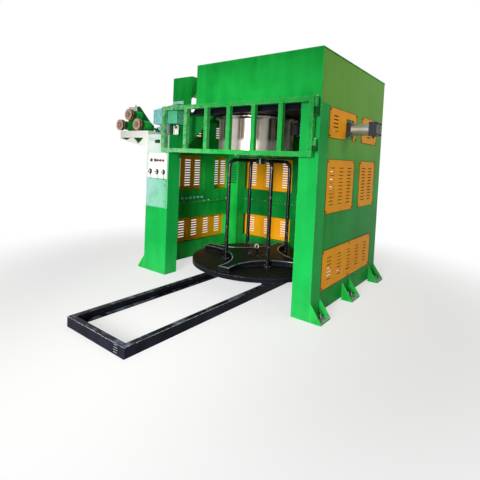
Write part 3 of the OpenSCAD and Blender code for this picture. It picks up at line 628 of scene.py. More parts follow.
def roller_finish(node_name):
    centre = middle(node_name)
    finish = Finish(node_name + "_copper")
    across = ((finish.x - centre.x) ** 2 + (finish.z - centre.z) ** 2) ** 0.5
    # The ring is painted shade where a recess would be.
    ring = (finish.ramp(across, RECESS_SHADE[0] - 0.001, RECESS_SHADE[0])
            * finish.ramp(across, RECESS_SHADE[1], RECESS_SHADE[1] - 0.002))
    tread = 1 - finish.facing(FRONT)
    rings = finish.node("ShaderNodeTexNoise", {"noise_dimensions": "1D"}, {"W": across * 700, "Scale": 1.0})
    copper = finish.mix(finish.noise(30, 4, 0.6), paint(216, 178, 144), paint(190, 148, 114))
    colour = finish.mix(ring * 0.35, copper, paint(52, 40, 34))
    finish.wear(Base_Color=finish.mix(tread * 0.9, colour, paint(44, 34, 28)), Metallic=0.4,
                Roughness=0.38 + tread * 0.2, Normal=finish.bump(rings, 0.15, 0.0004))


for name in ROLLERS:
    roller_finish(name)
print("rollers:", ", ".join(ROLLERS))

# %% [markdown]
# The panel's knobs and lamps are small solids of one part. The three lamps sit at the right end of the
# upper row, so the mask is a place on the panel: above the middle, and right of the second button.
# Plain mouldings and the lamps' lenses are a plastic with a fine grain.

# %% Knobs and lamps
LAMPS_FROM = 0.19
panel_low, panel_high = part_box("control_panel")
panel_middle = middle("control_panel")
switches = Finish("switch_plastic")
lamps_here = (switches.ramp(switches.z, panel_middle.z, panel_middle.z + 0.01)
              * switches.ramp(switches.x, panel_low.x + LAMPS_FROM, panel_low.x + LAMPS_FROM + 0.005))
moulded = switches.noise(180, 2, 0.5)
switches.wear(Base_Color=switches.mix(lamps_here, switches.mix(moulded, paint(34, 35, 38), paint(48, 49, 52)),
                                      paint(120, 22, 34)),
              Roughness=0.4 - lamps_here * 0.25 + moulded * 0.08, Normal=switches.bump(moulded, 0.05, 0.0004))


def plastic(name, colour, darker, gloss):
    finish = Finish(name)
    grain = finish.noise(150, 3, 0.5)
    finish.wear(Base_Color=finish.mix(grain, colour, darker), Roughness=gloss + grain * 0.1,
                Normal=finish.bump(grain, 0.06, 0.0004))


plastic("red_lens", paint(172, 22, 42), paint(140, 14, 30), 0.08)
plastic("moulding", paint(28, 29, 32), paint(44, 45, 48), 0.35)
print("finishes in all:", len(finishes))

# %% [markdown]
# Each solid part takes the finish of its material slot in the record. Some parts have a finish of their
# own instead, because they wear in their own way or carry painted sheen, highlight or shade of their own.
# Only the material changes: the meshes stay as packed.

# %% Dress the solid parts
OWN_FINISH = {
    "right_wall_lower": "side_green_paint", "right_wall_upper": "side_green_paint",
    "head_box_sides": "side_green_paint", "back_wall_lower": "back_green", "back_wall_upper": "back_green",
    "back_covers": "back_orange", "rear_posts": "post_green", "front_columns": "green_paint_chalky",
    "die_hood": "hood_paint", "gate": "gate_paint", "gate_hinges": "green_shadow",
    "left_top_frame": "inner_green", "track_flanges": "worn_black_rail", "track_webs": "worn_black_rail",
    "turntable": "dusty_black_table", "spider_base": "base_black", "spider_legs": "leg_black",
    "anchor_feet": "foot_green", **{name: name + "_copper" for name in ROLLERS}}

for entry in frame["record"]["subparts"]:
    materials = frame["nodes"][entry["node"]].data.materials
    materials.clear()
    materials.append(finishes[OWN_FINISH.get(entry["node"], entry["material_slot"])].material)

# %% [markdown]
# Repeats are made with Geometry Nodes. A Recipe is a tree with named inputs for its sizes. grow() puts
# it on a carrier mesh, sets each input by the socket's identifier before anything is evaluated, takes
# the evaluated result as a plain mesh, and throws the carrier and its modifier away. The result is an
# ordinary piece that rides on a CAD body.

# %% Recipes


class Recipe(Graph):
    """A Geometry Nodes tree with named inputs."""

    def __init__(self, name, **inputs):
        super().__init__(bpy.data.node_groups.new(name, "GeometryNodeTree"))
        kinds = {float: "NodeSocketFloat", int: "NodeSocketInt"}
        self.tree.interface.new_socket("Carrier", in_out="INPUT", socket_type="NodeSocketGeometry")
        for label, value in inputs.items():
            socket = self.tree.interface.new_socket(label, in_out="INPUT", socket_type=kinds[type(value)])
            socket.default_value = value
        self.tree.interface.new_socket("Finish", in_out="INPUT", socket_type="NodeSocketMaterial")
        self.tree.interface.new_socket("Result", in_out="OUTPUT", socket_type="NodeSocketGeometry")
        self.given = self.node("NodeGroupInput", output="Carrier")

    def size(self, label):
        return self.given.other(label)

    def close(self, shape):
        """Ends the tree: real geometry instead of instances, with its finish set."""
        real = self.node("GeometryNodeRealizeInstances", inputs={0: shape})
        painted = self.node("GeometryNodeSetMaterial", inputs={0: real, "Material": self.size("Finish")})
        end = self.tree.nodes.new("NodeGroupOutput")
        self.feed(end.inputs[0], painted)
        return self


SHARP_FROM = math.radians(35)


def adopt(name, mesh, body):
    """Makes a finished mesh a piece of the machine. Round faces shade smoothly, corners stay sharp."""
    mesh.polygons.foreach_set("use_smooth", [True] * len(mesh.polygons))
    mesh.set_sharp_from_angle(angle=SHARP_FROM)
    piece = bpy.data.objects.new(name, mesh)
    scene.collection.objects.link(piece)
    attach(piece, body)
    print(name, "faces:", len(mesh.polygons))


def grow(recipe, name, carrier, slot, finish=None, body="housing", **sizes):
    """finish is needed only where it isn't the slot's own."""
    seed = bpy.data.objects.new(name + "_carrier", carrier)
    scene.collection.objects.link(seed)
    modifier = seed.modifiers.new("recipe", "NODES")
    modifier.node_group = recipe.tree
    values = dict(sizes, Finish=finishes[finish or slot].material)
    for socket in recipe.tree.interface.items_tree:
        if socket.name in values:
            modifier[socket.identifier] = values[socket.name]
    graph = bpy.context.evaluated_depsgraph_get()
    mesh = bpy.data.meshes.new_from_object(seed.evaluated_get(graph), preserve_all_data_layers=True,
                                           depsgraph=graph)
    bpy.data.objects.remove(seed)
    adopt(name, mesh, body)


print("recipe helpers ready")

# %% [markdown]
# Carriers are bare meshes: points that carry a direction, for things that stand on a surface, or
# chains of edges, for things that run along a line. A point's direction is kept as an attribute.

# %% Carriers


def stand(points, way):
    """Gives points the direction in which a fastener stands on them."""
    return [(Vector(point), way) for point in points]


def points_carrier(places):
    """places: (point, outward direction) pairs."""
    mesh = bpy.data.meshes.new("points")
    mesh.from_pydata([tuple(point) for point, outward in places], [], [])
    outward_data = mesh.attributes.new("outward", "FLOAT_VECTOR", "POINT")
    for item, (point, outward) in zip(outward_data.data, places):
        item.vector = outward
    return mesh


def lines_carrier(lines, closed=False):
    points, edges = [], []
    for line in lines:
        first = len(points)
        points += [tuple(point) for point in line]
        edges += [(i, i + 1) for i in range(first, len(points) - 1)]
        if closed:
            edges.append((len(points) - 1, first))
    mesh = bpy.data.meshes.new("lines")
    mesh.from_pydata(points, edges, [])
    return mesh


print("carriers ready")

# %% [markdown]
# One tree makes every fastener on the machine. A head with a chosen number of sides stands on a washer,
# with a chamfered top, and is set on each point of the carrier along the point's own direction. Six
# sides make a hexagon bolt, sixteen a round screw head. Each one is turned by a random angle from a
# fixed seed, because nobody lines up bolt heads.

# %% Fastener recipe


def fastener_recipe():
    tree = Recipe("fasteners", Radius=0.006, Height=0.004, Washer=0.009, Washer_Height=0.001,
                  Sides=6, Seed=1)
    radius, height, lift = tree.size("Radius"), tree.size("Height"), tree.size("Washer_Height")

    def disc(kind, sizes, foot):
        solid = tree.node(kind, inputs=sizes)
        rise = tree.node("ShaderNodeCombineXYZ", inputs={"Z": foot})
        return tree.node("GeometryNodeTransform", inputs={"Geometry": solid, "Translation": rise})

    head = disc("GeometryNodeMeshCylinder",
                {"Vertices": tree.size("Sides"), "Radius": radius, "Depth": height}, lift + height * 0.5)
    washer = disc("GeometryNodeMeshCylinder",
                  {"Vertices": 14, "Radius": tree.size("Washer"), "Depth": lift}, lift * 0.5)
    crown = disc("GeometryNodeMeshCone",
                 {"Vertices": tree.size("Sides"), "Radius Top": radius * 0.74, "Radius Bottom": radius,
                  "Depth": height * 0.22}, lift + height)
    joined = tree.node("GeometryNodeJoinGeometry")
    for solid in (head, washer, crown):
        tree.tree.links.new(solid.socket, joined.socket.node.inputs[0])
    outward = tree.node("GeometryNodeInputNamedAttribute", {"data_type": "FLOAT_VECTOR"}, {"Name": "outward"})
    upright = tree.node("FunctionNodeAlignRotationToVector", {"axis": "Z"}, {"Vector": outward})
    angle = tree.node("FunctionNodeRandomValue", {"data_type": "FLOAT"},
                      {2: 0.0, 3: 6.28, "Seed": tree.size("Seed")}, output=1)
    spin = tree.node("FunctionNodeAxisAngleToRotation", inputs={"Axis": (0, 0, 1), "Angle": angle})
    turned_up = tree.node("FunctionNodeRotateRotation", {"rotation_space": "LOCAL"}, {0: upright, 1: spin})
    placed = tree.node("GeometryNodeInstanceOnPoints", inputs={
        "Points": tree.given, "Instance": joined, "Rotation": turned_up})
    return tree.close(placed)


fasteners = fastener_recipe()


def bolts(name, places, size, slot="bare_steel", finish=None, body="housing", sides=6):
    """size: the head's radius and height, then the washer's."""
    radius, height, washer, lift = size
    grow(fasteners, name, points_carrier(places), slot, finish, body,
         Radius=radius, Height=height, Washer=washer, Washer_Height=lift, Sides=sides)


print("fastener recipe:", len(fasteners.tree.nodes), "nodes")

# %% [markdown]
# Each cover is held by screws near its corners, with more between them on long sides. walk() steps round
# the corners of the cover's box in its own plane. The outlines come from the outer faces of the covers:
# the low ones are slots, and the rest are the edges of the sheets.

# %% Cover screws
SIGNS = ((-1, -1), (1, -1), (1, 1), (-1, 1))
SCREW_INSET = 0.022
SCREW_SPACING = 0.62
SLOT_TALLEST = 0.02


def walk(corners, spacing):
    places = []
    for start, end in zip(corners, corners[1:] + corners[:1]):
        steps = max(1, round((end - start).length / spacing))
        places += [start.lerp(end, i / steps) for i in range(steps)]
    return places


def corners_of(points, across, up, inset):
    """The corners of a flat outline's box, moved in from its edge."""
    low, high = box_of(points)
    centre, half = (low + high) / 2, (high - low) / 2
    reach, rise = across * (across.dot(half) - inset), up * (up.dot(half) - inset)
    return [centre + reach * u + rise * v for u, v in SIGNS]


side_face, back_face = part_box("side_covers")[1].x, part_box("back_covers")[1].y
loops = loops_on("side_covers", lambda point: abs(point.x) > side_face - TOUCH)
loops += loops_on("back_covers", lambda point: point.y > back_face - TOUCH)
slots, sheets, screws = [], [], []
for loop in loops:
    low, high = box_of(loop)
    on_side = high.x - low.x < TOUCH
    if high.z - low.z < SLOT_TALLEST:
        slots.append(loop)
        continue
    sheets.append(loop)
    corners = corners_of(loop, BACK if on_side else RIGHT, UP, SCREW_INSET)
    screws += stand(walk(corners, SCREW_SPACING), RIGHT * math.copysign(1, low.x) if on_side else BACK)
bolts("cover_screws", screws, (0.0075, 0.004, 0.0105, 0.0012), "black_paint", sides=16)
print("sheets:", len(sheets), "slots:", len(slots))

# %% [markdown]
# A second recipe sweeps a round bar along lines, with its corners rounded first. It makes a dark rubber
# gasket round each cover, a dark line that stands for the shade in the gap at the cover's edge, and the
# pressed lip round each slot.

# %% Gaskets and slot lips


def bar_recipe():
    tree = Recipe("bar", Radius=0.002, Sides=6, Corner=0.003)
    line = tree.node("GeometryNodeMeshToCurve", inputs={0: tree.given})
    soft = tree.node("GeometryNodeFilletCurve", {"mode": "POLY"}, {
        "Curve": line, "Count": 3, "Radius": tree.size("Corner"), "Limit Radius": True})
    profile = tree.node("GeometryNodeCurvePrimitiveCircle", inputs={
        "Resolution": tree.size("Sides"), "Radius": tree.size("Radius")})
    swept = tree.node("GeometryNodeCurveToMesh", inputs={
        "Curve": soft, "Profile Curve": profile, "Fill Caps": True})
    return tree.close(swept)


bars = bar_recipe()


def bar(name, lines, size, slot, finish=None, body="housing", closed=False):
    """size: the bar's radius, its number of sides and the radius of the line's corners."""
    radius, sides, corner = size
    grow(bars, name, lines_carrier(lines, closed), slot, finish, body,
         Radius=radius, Sides=sides, Corner=corner)


bar("cover_shade_gaskets", sheets, (0.0026, 6, 0.004), "roller_rubber", closed=True)
bar("slot_lips", slots, (0.0013, 5, 0.004), "orange_paint", closed=True)

# %% [markdown]
# Welds. A third recipe sets a short bead again and again along a line, each turned to follow the line
# and a little different in size. Set closely, the beads overlap into the rippled seam of an arc weld.
# Set far apart and drawn out long, they are the stitches that join the two halves of the side walls.

# %% Weld recipe


def bead_recipe():
    tree = Recipe("beads", Pitch=0.005, Length=0.005, Width=0.004, Height=0.003, Uneven=0.25, Seed=3)
    line = tree.node("GeometryNodeMeshToCurve", inputs={0: tree.given})
    stations = tree.node("GeometryNodeCurveToPoints", {"mode": "LENGTH"}, {
        "Curve": line, "Length": tree.size("Pitch")}, output="Points")
    blob = tree.node("GeometryNodeMeshUVSphere", inputs={"Segments": 7, "Rings": 4, "Radius": 1.0})
    shape = tree.node("ShaderNodeCombineXYZ", inputs={
        "X": tree.size("Height"), "Y": tree.size("Width"), "Z": tree.size("Length")})
    bead = tree.node("GeometryNodeTransform", inputs={"Geometry": blob, "Scale": shape})
    size = tree.node("FunctionNodeRandomValue", {"data_type": "FLOAT"}, {
        2: 1 - tree.size("Uneven"), 3: 1 + tree.size("Uneven"), "Seed": tree.size("Seed")}, output=1)
    placed = tree.node("GeometryNodeInstanceOnPoints", inputs={
        "Points": stations, "Instance": bead, "Rotation": stations.other("Rotation"), "Scale": size})
    return tree.close(placed)


beads = bead_recipe()


def weld(name, lines, size, slot="green_paint", finish=None, body="housing"):
    """size: the pitch of the beads, then their length, width and height."""
    pitch, length, width, height = size
    grow(beads, name, lines_carrier(lines), slot, finish, body,
         Pitch=pitch, Length=length, Width=width, Height=height)


print("weld recipe:", len(beads.tree.nodes), "nodes")

# %% [markdown]
# The seams run where the real machine is welded: up the corners between columns and side walls, where
# each gate bar meets a rail, and along the foot gussets. The gate's seams ride on the gate.

# %% Weld seams
GATE_RIGHT, BAR, BAR_PITCH, GATE_BARS = 1.234, 0.050, 0.337, 6
SEAM_FOOT, GUSSET_FOOT = 0.05, 0.03
STITCH_START, STITCH_INSET = -0.15, 0.05

housing_low, housing_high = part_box("front_columns")
wall_low, wall_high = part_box("right_wall_upper")
gate_low, gate_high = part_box("gate")
column_back = housing_high.y
seams, stitches, gate_seams = [], [], []
for side, top in ((-1, column_high.z), (1, housing_high.z)):
    face = side * wall_high.x
    seams.append([(face, column_back, SEAM_FOOT), (face, column_back, top)])
    stitches.append([(face, STITCH_START, SEAM_HEIGHT), (face, wall_high.y - STITCH_INSET, SEAM_HEIGHT)])
for low, high in islands("anchor_feet"):
    face = math.copysign(wall_high.x, low.x)
    for y in (low.y, high.y):
        if y > housing_low.y + 0.01:
            seams.append([(face, y, GUSSET_FOOT), (face, y, high.z)])
for i in range(GATE_BARS):
    start = GATE_RIGHT - BAR - i * BAR_PITCH
    for height in (gate_low.z + BAR, gate_high.z - BAR):
        for face in (gate_low.y, gate_low.y + BAR):
            gate_seams.append([(start, face, height), (start + BAR, face, height)])

weld("housing_welds", seams, (0.008, 0.007, 0.004, 0.004))
# The stitches take the dark shadow green: painted shade along the seam.
weld("wall_stitches", stitches, (0.105, 0.034, 0.0035, 0.0022), finish="green_shadow")
weld("gate_welds", gate_seams, (0.006, 0.006, 0.0035, 0.003), body="gate")

# %% [markdown]
# Turned and flat pieces are built point by point in one mesh. Shape collects closed solids: turned()
# spins a profile about an axis, ring by ring, and prism() gives a flat outline a thickness. A plain
# cylinder or cube would lack the steps and chamfers of a machined part, and these take them from a
# short profile. Both are closed, with their faces outwards.

# %% Shapes
BEVEL_FROM = 0.6


class Shape:
    """Closed solids collected in one mesh."""

    def __init__(self):
        self.mesh = bmesh.new()

    def turned(self, profile, foot, axis, steps=28):
        """profile: (radius, height) pairs along axis, starting and ending at radius 0 or meeting itself."""
        side = axis.orthogonal().normalized()
        other = axis.cross(side)
        rings = []
        for radius, height in profile:
            centre = Vector(foot) + axis * height
            if radius == 0:
                rings.append([self.mesh.verts.new(centre)])
                continue
            angles = [2 * math.pi * i / steps for i in range(steps)]
            points = [centre + side * math.cos(a) * radius + other * math.sin(a) * radius for a in angles]
            rings.append([self.mesh.verts.new(point) for point in points])
        pairs = list(zip(rings, rings[1:]))
        if profile[0][0] != 0:
            pairs.append((rings[-1], rings[0]))
        for lower, upper in pairs:
            for i in range(steps):
                j = (i + 1) % steps
                around = ((lower, i), (lower, j), (upper, j), (upper, i))
                self.mesh.faces.new(list(dict.fromkeys(ring[k % len(ring)] for ring, k in around)))
        return self

    def prism(self, outline, foot, depth, across=RIGHT, up=UP):
        """outline: (u, v) pairs along across and up. It is pushed out along their cross product."""
        push = across.cross(up).normalized() * depth
        near = [self.mesh.verts.new(Vector(foot) + across * u + up * v) for u, v in outline]
        far = [self.mesh.verts.new(vert.co + push) for vert in near]
        self.mesh.faces.new(near[::-1])
        self.mesh.faces.new(far)
        for i in range(len(near)):
            j = (i + 1) % len(near)
            self.mesh.faces.new([near[i], near[j], far[j], far[i]])
        return self

    def piece(self, name, slot, finish=None, body="housing", bevel=0.0):
        bmesh.ops.recalc_face_normals(self.mesh, faces=self.mesh.faces)
        if bevel:
            sharp = [edge for edge in self.mesh.edges if edge.calc_face_angle(0) > BEVEL_FROM]
            bmesh.ops.bevel(self.mesh, geom=sharp, offset=bevel, segments=2, profile=0.5, affect="EDGES")
        mesh = bpy.data.meshes.new(name)
        self.mesh.to_mesh(mesh)
        self.mesh.free()
        mesh.materials.append(finishes[finish or slot].material)
        adopt(name, mesh, body)


def rectangle(width, height):
    return [(u * width / 2, v * height / 2) for u, v in SIGNS]


def circle(radius, steps=16, start=0.0, sweep=2 * math.pi):
    return [(radius * math.cos(start + sweep * i / steps), radius * math.sin(start + sweep * i / steps))
            for i in range(steps)]


print("shape helpers ready")

# %% [markdown]
# The foundation bolts hold the machine down. Each foot has a flat washer plate, a nut, and the end of
# the bolt with its thread. The thread is a stack of narrow and wide rings. A true helix would look
# the same from a step away and take many more faces.

# %% Foundation bolts
FOOT_HOLE_FROM_EDGE = 0.061
PAD_TOP = 0.020
WASHER_PLATE = 0.006
THREAD = 0.0025
SUNK = 0.0005


def threaded_end(radius, length):
    turns = int(length / THREAD)
    crests = [(radius if i % 2 else radius * 0.86, i * THREAD / 2) for i in range(2 * turns)]
    return [(0, 0)] + crests + [(radius * 0.7, turns * THREAD + 0.001), (0, turns * THREAD + 0.001)]


holes = []
for low, high in islands("anchor_feet"):
    edge = high.x - FOOT_HOLE_FROM_EDGE if high.x > 0 else low.x + FOOT_HOLE_FROM_EDGE
    holes.append(Vector((edge, (low.y + high.y) / 2, PAD_TOP)))
plates, studs = Shape(), Shape()
for hole in holes:
    plates.prism(rectangle(0.092, 0.120), hole - UP * SUNK, WASHER_PLATE, up=BACK)
    studs.turned(threaded_end(0.010, 0.045), hole + UP * WASHER_PLATE, UP, 16)
plates.piece("foot_washer_plates", "bare_steel", bevel=0.001)
studs.piece("foot_studs", "bare_steel")
seats = [hole + UP * (WASHER_PLATE - SUNK) for hole in holes]
bolts("foot_nuts", stand(seats, UP), (0.018, 0.017, 0.022, 0.003))

# %% [markdown]
# The halves of the walls are bolted together through a flange on the inside. The bolts stand on the
# flange in a row, all with the same spacing. Other rows of screws hold the roof sheet of the head box
# and the operator panel. All of them come from the one recipe, with other sizes.

# %% Rows of bolts


def row(start, end, count):
    start, end = Vector(start), Vector(end)
    return [start.lerp(end, i / (count - 1)) for i in range(count)]


FLANGE_TOP = SEAM_HEIGHT + 0.012
FLANGE_MIDDLE = wall_low.x + 0.025
SIDE_ROW = (column_back + 0.06, 0.62)
BACK_ROW, BACK_ROW_HALF = 0.870, 0.90
ROOF_INSET, ROOF_SPACING, PANEL_INSET = 0.025, 0.26, 0.014

flange_points = []
for x in (-FLANGE_MIDDLE, FLANGE_MIDDLE):
    flange_points += row((x, SIDE_ROW[0], FLANGE_TOP), (x, SIDE_ROW[1], FLANGE_TOP), 13)
flange_points += row((-BACK_ROW_HALF, BACK_ROW, FLANGE_TOP), (BACK_ROW_HALF, BACK_ROW, FLANGE_TOP), 15)
bolts("flange_bolts", stand(flange_points, UP), (0.010, 0.008, 0.013, 0.002))

roof_low, roof_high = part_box("head_box_roof")
roof = (Vector((roof_low.x, roof_low.y, roof_high.z)), roof_high)
roof_points = walk(corners_of(roof, RIGHT, BACK, ROOF_INSET), ROOF_SPACING)
bolts("roof_screws", stand(roof_points, UP), (0.006, 0.004, 0.010, 0.0012))

panel_points = [(x, panel_low.y, z) for x in (panel_low.x + PANEL_INSET, panel_high.x - PANEL_INSET)
                for z in (panel_low.z + PANEL_INSET, panel_middle.z, panel_high.z - PANEL_INSET)]
bolts("panel_screws", stand(panel_points, FRONT), (0.0045, 0.0025, 0.006, 0.0006), sides=14)

# %% [markdown]
# The track's end channel has four short weld beads near its right corner, one above the other, and its
# upper edges are rubbed bright by boots and coils. A thin bar along each edge carries that rubbed line,
# whose pale top is partly a painted highlight.

# %% Track end
DASH_FROM_CORNER = (0.130, 0.092)
DASH_HEIGHTS = (0.022, 0.042, 0.062, 0.082)
RUB = 0.0025
RUB_END = -1.1

track_low, track_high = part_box("track_webs")
dashes = [[(track_high.x - x, track_low.y, z) for x in DASH_FROM_CORNER] for z in DASH_HEIGHTS]
weld("track_dashes", dashes, (0.006, 0.006, 0.0024, 0.002), "bare_steel", "valve_metal")
rub_z = track_high.z - RUB
near_left, near_right = (track_low.x, track_low.y, rub_z), (track_high.x, track_low.y, rub_z)
edge_lines = [[near_left, near_right], [near_right, (track_high.x, RUB_END, rub_z)],
              [near_left, (track_low.x, RUB_END, rub_z)]]
bar("track_edge_bar", edge_lines, (RUB, 8, 0.001), "black_paint", "worn_black_bar")

# %% [markdown]
# The operator panel. The upper row has two dark push buttons and three red lamps, each in a turned
# bezel. Below are three rotary switches: a D-shaped plate with one straight side, a grip that stands
# across the knob, and a pale face. A thin lever hangs under each one.

# %% Panel fittings
UPPER_BUTTONS = (0.086, 0.162)
LAMPS = (0.216, 0.270, 0.324)
SWITCHES = (0.063, 0.199, 0.326)
DIAL_DROP, SWITCH_RISE = 0.100, 0.085
LENS_SEAT, FACE_SEAT, GRIP_SEAT = 0.0155, 0.018, 0.0195
DOME = [(0, 0), (0.0142, 0), (0.0142, 0.002), (0.0125, 0.0055), (0.009, 0.0080), (0.0045, 0.0094),
        (0, 0.0098)]
FACE = [(0, 0), (0.0185, 0), (0.0185, 0.0008), (0, 0.0008)]
LEVER_END = [(0, 0), (0.006, 0), (0.006, 0.006), (0, 0.007)]
HALF_DISC = circle(0.036, 14, math.radians(-125), math.radians(268))


def bezel(inner, outer, height):
    return [(inner, 0), (outer, 0), (outer, height * 0.5), (outer - 0.002, height), (inner, height)]


def on_panel(x, z):
    return Vector((panel_low.x + x, panel_low.y, z))


dial_z, switch_z = panel_high.z - DIAL_DROP, panel_low.z + SWITCH_RISE
bezels, lenses, grips, levers, faces = Shape(), Shape(), Shape(), Shape(), Shape()
for x in UPPER_BUTTONS:
    bezels.turned(bezel(0.0205, 0.027, 0.005), on_panel(x, dial_z), FRONT)
for x in LAMPS:
    bezels.turned(bezel(0.0145, 0.020, 0.006), on_panel(x, dial_z), FRONT)
    lenses.turned(DOME, on_panel(x, dial_z) + FRONT * LENS_SEAT, FRONT)
for x in SWITCHES:
    place = on_panel(x, switch_z)
    grips.prism(HALF_DISC, place, 0.006)
    grips.prism(rectangle(0.040, 0.010), place + FRONT * GRIP_SEAT, 0.010)
    faces.turned(FACE, place + FRONT * FACE_SEAT, FRONT, 24)
    levers.prism(rectangle(0.005, 0.056), place + RIGHT * 0.012 - UP * 0.062, 0.004)
    levers.turned(LEVER_END, place + RIGHT * 0.012 - UP * 0.090, FRONT, 12)
bezels.piece("panel_bezels", "valve_metal")
lenses.piece("lamp_lenses", "switch_plastic", "red_lens")
grips.piece("switch_grips", "switch_plastic", "moulding", bevel=0.0015)
faces.piece("switch_faces", "switch_plastic", "white_paint")
levers.piece("switch_levers", "switch_plastic", "moulding", bevel=0.0008)

# %% [markdown]
# Below the panel a thin door closes the wiring space in the left column. It is a raised plate with
# rounded corners over a dark gasket, with two quarter-turn locks. It has the column's own finish, so
# the painted pale sheen runs on over it.

# %% Column door
DOOR = (panel_low.x + 0.004, panel_high.x - 0.006, SEAM_HEIGHT + 0.004, panel_low.z - 0.012)
DOOR_CORNER, DOOR_THICKNESS = 0.012, 0.003
LOCK_FROM_EDGE, LOCK_FROM_END = 0.03, 0.08
face_y = housing_low.y


def rounded(x0, x1, z0, z1, radius):
    points = []
    for cx, cz, start in ((x1 - radius, z0 + radius, -90), (x1 - radius, z1 - radius, 0),
                          (x0 + radius, z1 - radius, 90), (x0 + radius, z0 + radius, 180)):
        for step in range(5):
            angle = math.radians(start + 22.5 * step)
            points.append((cx + radius * math.cos(angle), cz + radius * math.sin(angle)))
    return points


outline = rounded(*DOOR, DOOR_CORNER)
Shape().prism(outline, (0, face_y, 0), DOOR_THICKNESS).piece(
    "column_door", "green_paint", "green_paint_chalky", bevel=0.0008)
seal = [(x, face_y - SUNK, z) for x, z in outline]
bar("door_seal", [seal], (0.0018, 6, 0.002), "roller_rubber", closed=True)
locks = [(DOOR[1] - LOCK_FROM_EDGE, face_y - DOOR_THICKNESS, z)
         for z in (DOOR[2] + LOCK_FROM_END, DOOR[3] - LOCK_FROM_END)]
bolts("door_locks", stand(locks, FRONT), (0.009, 0.005, 0.014, 0.002), sides=20)

# %% [markdown]
# The hubs of the guide rollers. A dark cap closes each bearing, with a dished middle and a bright hexagon
# screw, and a flat ring stands on the roller's face. They are turned about the roller's own axle and
# ride on the roller, so they spin with it.

# %% Roller hubs
HUB = [(0, 0), (0.027, 0), (0.027, 0.003), (0.024, 0.006), (0.016, 0.006), (0.012, 0.003), (0, 0.003)]
HUB_DISH = 0.003
FACE_RING = [(0.054, 0), (0.066, 0), (0.066, 0.0015), (0.054, 0.0015)]
for name in ROLLERS:
    foot = middle(name)
    foot.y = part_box(name)[0].y
    Shape().turned(HUB, foot, FRONT, 36).piece(name + "_hub", "bare_steel", "moulding", name)
    Shape().turned(FACE_RING, foot, FRONT, 48).piece(name + "_ring", "bare_steel", name + "_copper", name)
    bolts(name + "_screw", stand([foot + FRONT * HUB_DISH], FRONT), (0.010, 0.006, 0.0125, 0.001),
          finish="valve_metal", body=name)

# %% [markdown]
# On the straightener the upper roller is set by a screw that comes down through the top of the plate
# into the window behind it. The plate is held by bright bolts. Behind the pale front web a thin dark green
# sheet lines the lower edge: it stands for the shade behind the web's openings. It is drawn from the
# web's own corners.

# %% Straightener screw, bolts and lining
WINDOW = Vector((bracket_low.x + 0.1525, bracket_high.y - 0.0125, bracket_high.z))
SPINDLE = [(0, -0.075), (0.009, -0.075), (0.009, 0.020), (0.006, 0.024), (0.006, 0.034), (0, 0.034)]
COLLAR = [(0, 0.0), (0.017, 0.0), (0.017, 0.010), (0.014, 0.013), (0, 0.013)]
PLATE_BOLTS = ((0.125, -0.115), (0.215, -0.165), (0.375, -0.235), (0.055, -0.05), (0.475, -0.33),
               (0.065, -0.33))
plate_face = bracket_high.y - 0.025
behind_web = bracket_low.y + 0.019

Shape().turned(SPINDLE, WINDOW, UP, 18).turned(COLLAR, WINDOW, UP, 24).piece("adjusting_screw", "bare_steel")
plate_points = [(bracket_low.x + x, plate_face, bracket_high.z + z) for x, z in PLATE_BOLTS]
bolts("bracket_bolts", stand(plate_points, FRONT), (0.012, 0.009, 0.016, 0.002), finish="valve_metal")
web_face = [vert.co for vert in frame["nodes"]["straightener_bracket"].data.vertices
            if abs(vert.co.y - bracket_low.y) < TOUCH]
web_start = min(point.x for point in web_face)
web_foot = min(point.z for point in web_face if point.x < web_start + TOUCH)
lining = [(web_start + 0.010, web_foot + 0.008), (bracket_high.x - 0.002, bracket_low.z + 0.010),
          (bracket_high.x - 0.002, web_foot + 0.021), (web_start + 0.010, web_foot + 0.021)]
Shape().prism(lining, (0, behind_web, 0), 0.003).piece(
    "web_shade_lining", "green_paint", "green_shadow", bevel=0.0005)
print("web starts at x", round(web_start, 3), "foot z", round(web_foot, 3))

# %% [markdown]
# The air cylinder is held together by socket screws at the corners of its heads. Each head has a port
# with a hexagon fitting, and the rod leaves through a bright gland on the inside of the wall.

# %% Air cylinder fittings
SCREW_CIRCLE = 0.057
PORT_FROM_MIDDLE = 0.03
MOUNT_BOLTS = (0.11, 0.08)
GLAND = [(0.0205, 0), (0.040, 0), (0.040, 0.006), (0.034, 0.014), (0.0205, 0.014)]
mount_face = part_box("cylinder_mount")[0].x
centre = middle("press_cylinder")


def four_round(x, y_half, z_half):
    return [(x, centre.y + a * y_half, centre.z + b * z_half) for a in (-1, 1) for b in (-1, 1)]


ends = (four_round(cylinder_high.x, SCREW_CIRCLE, SCREW_CIRCLE)
        + four_round(cylinder_low.x + NEAR_HEAD, SCREW_CIRCLE, SCREW_CIRCLE))
bolts("cylinder_screws", stand(ends, RIGHT), (0.010, 0.008, 0.012, 0.001), "cylinder_metal", "black_paint",
      sides=16)
ports = [(x, centre.y - PORT_FROM_MIDDLE, cylinder_low.z)
         for x in (cylinder_low.x + NEAR_HEAD / 2, cylinder_high.x - FAR_HEAD / 2)]
bolts("cylinder_ports", stand(ports, -UP), (0.012, 0.018, 0.014, 0.004), "cylinder_metal", "moulding")
Shape().turned(GLAND, (mount_face, centre.y, centre.z), -RIGHT, 36).piece("rod_gland", "bare_steel")
bolts("mount_bolts", stand(four_round(mount_face, *MOUNT_BOLTS), -RIGHT), (0.011, 0.008, 0.015, 0.002))

# %% [markdown]
# The four-armed base is edged with round bar, which catches the light along its scooped sides. The
# outline isn't typed in again. It is read from the CAD solid: the sharp edges of the top face, away from
# the lifting eye in the middle. The bar is swept along them.

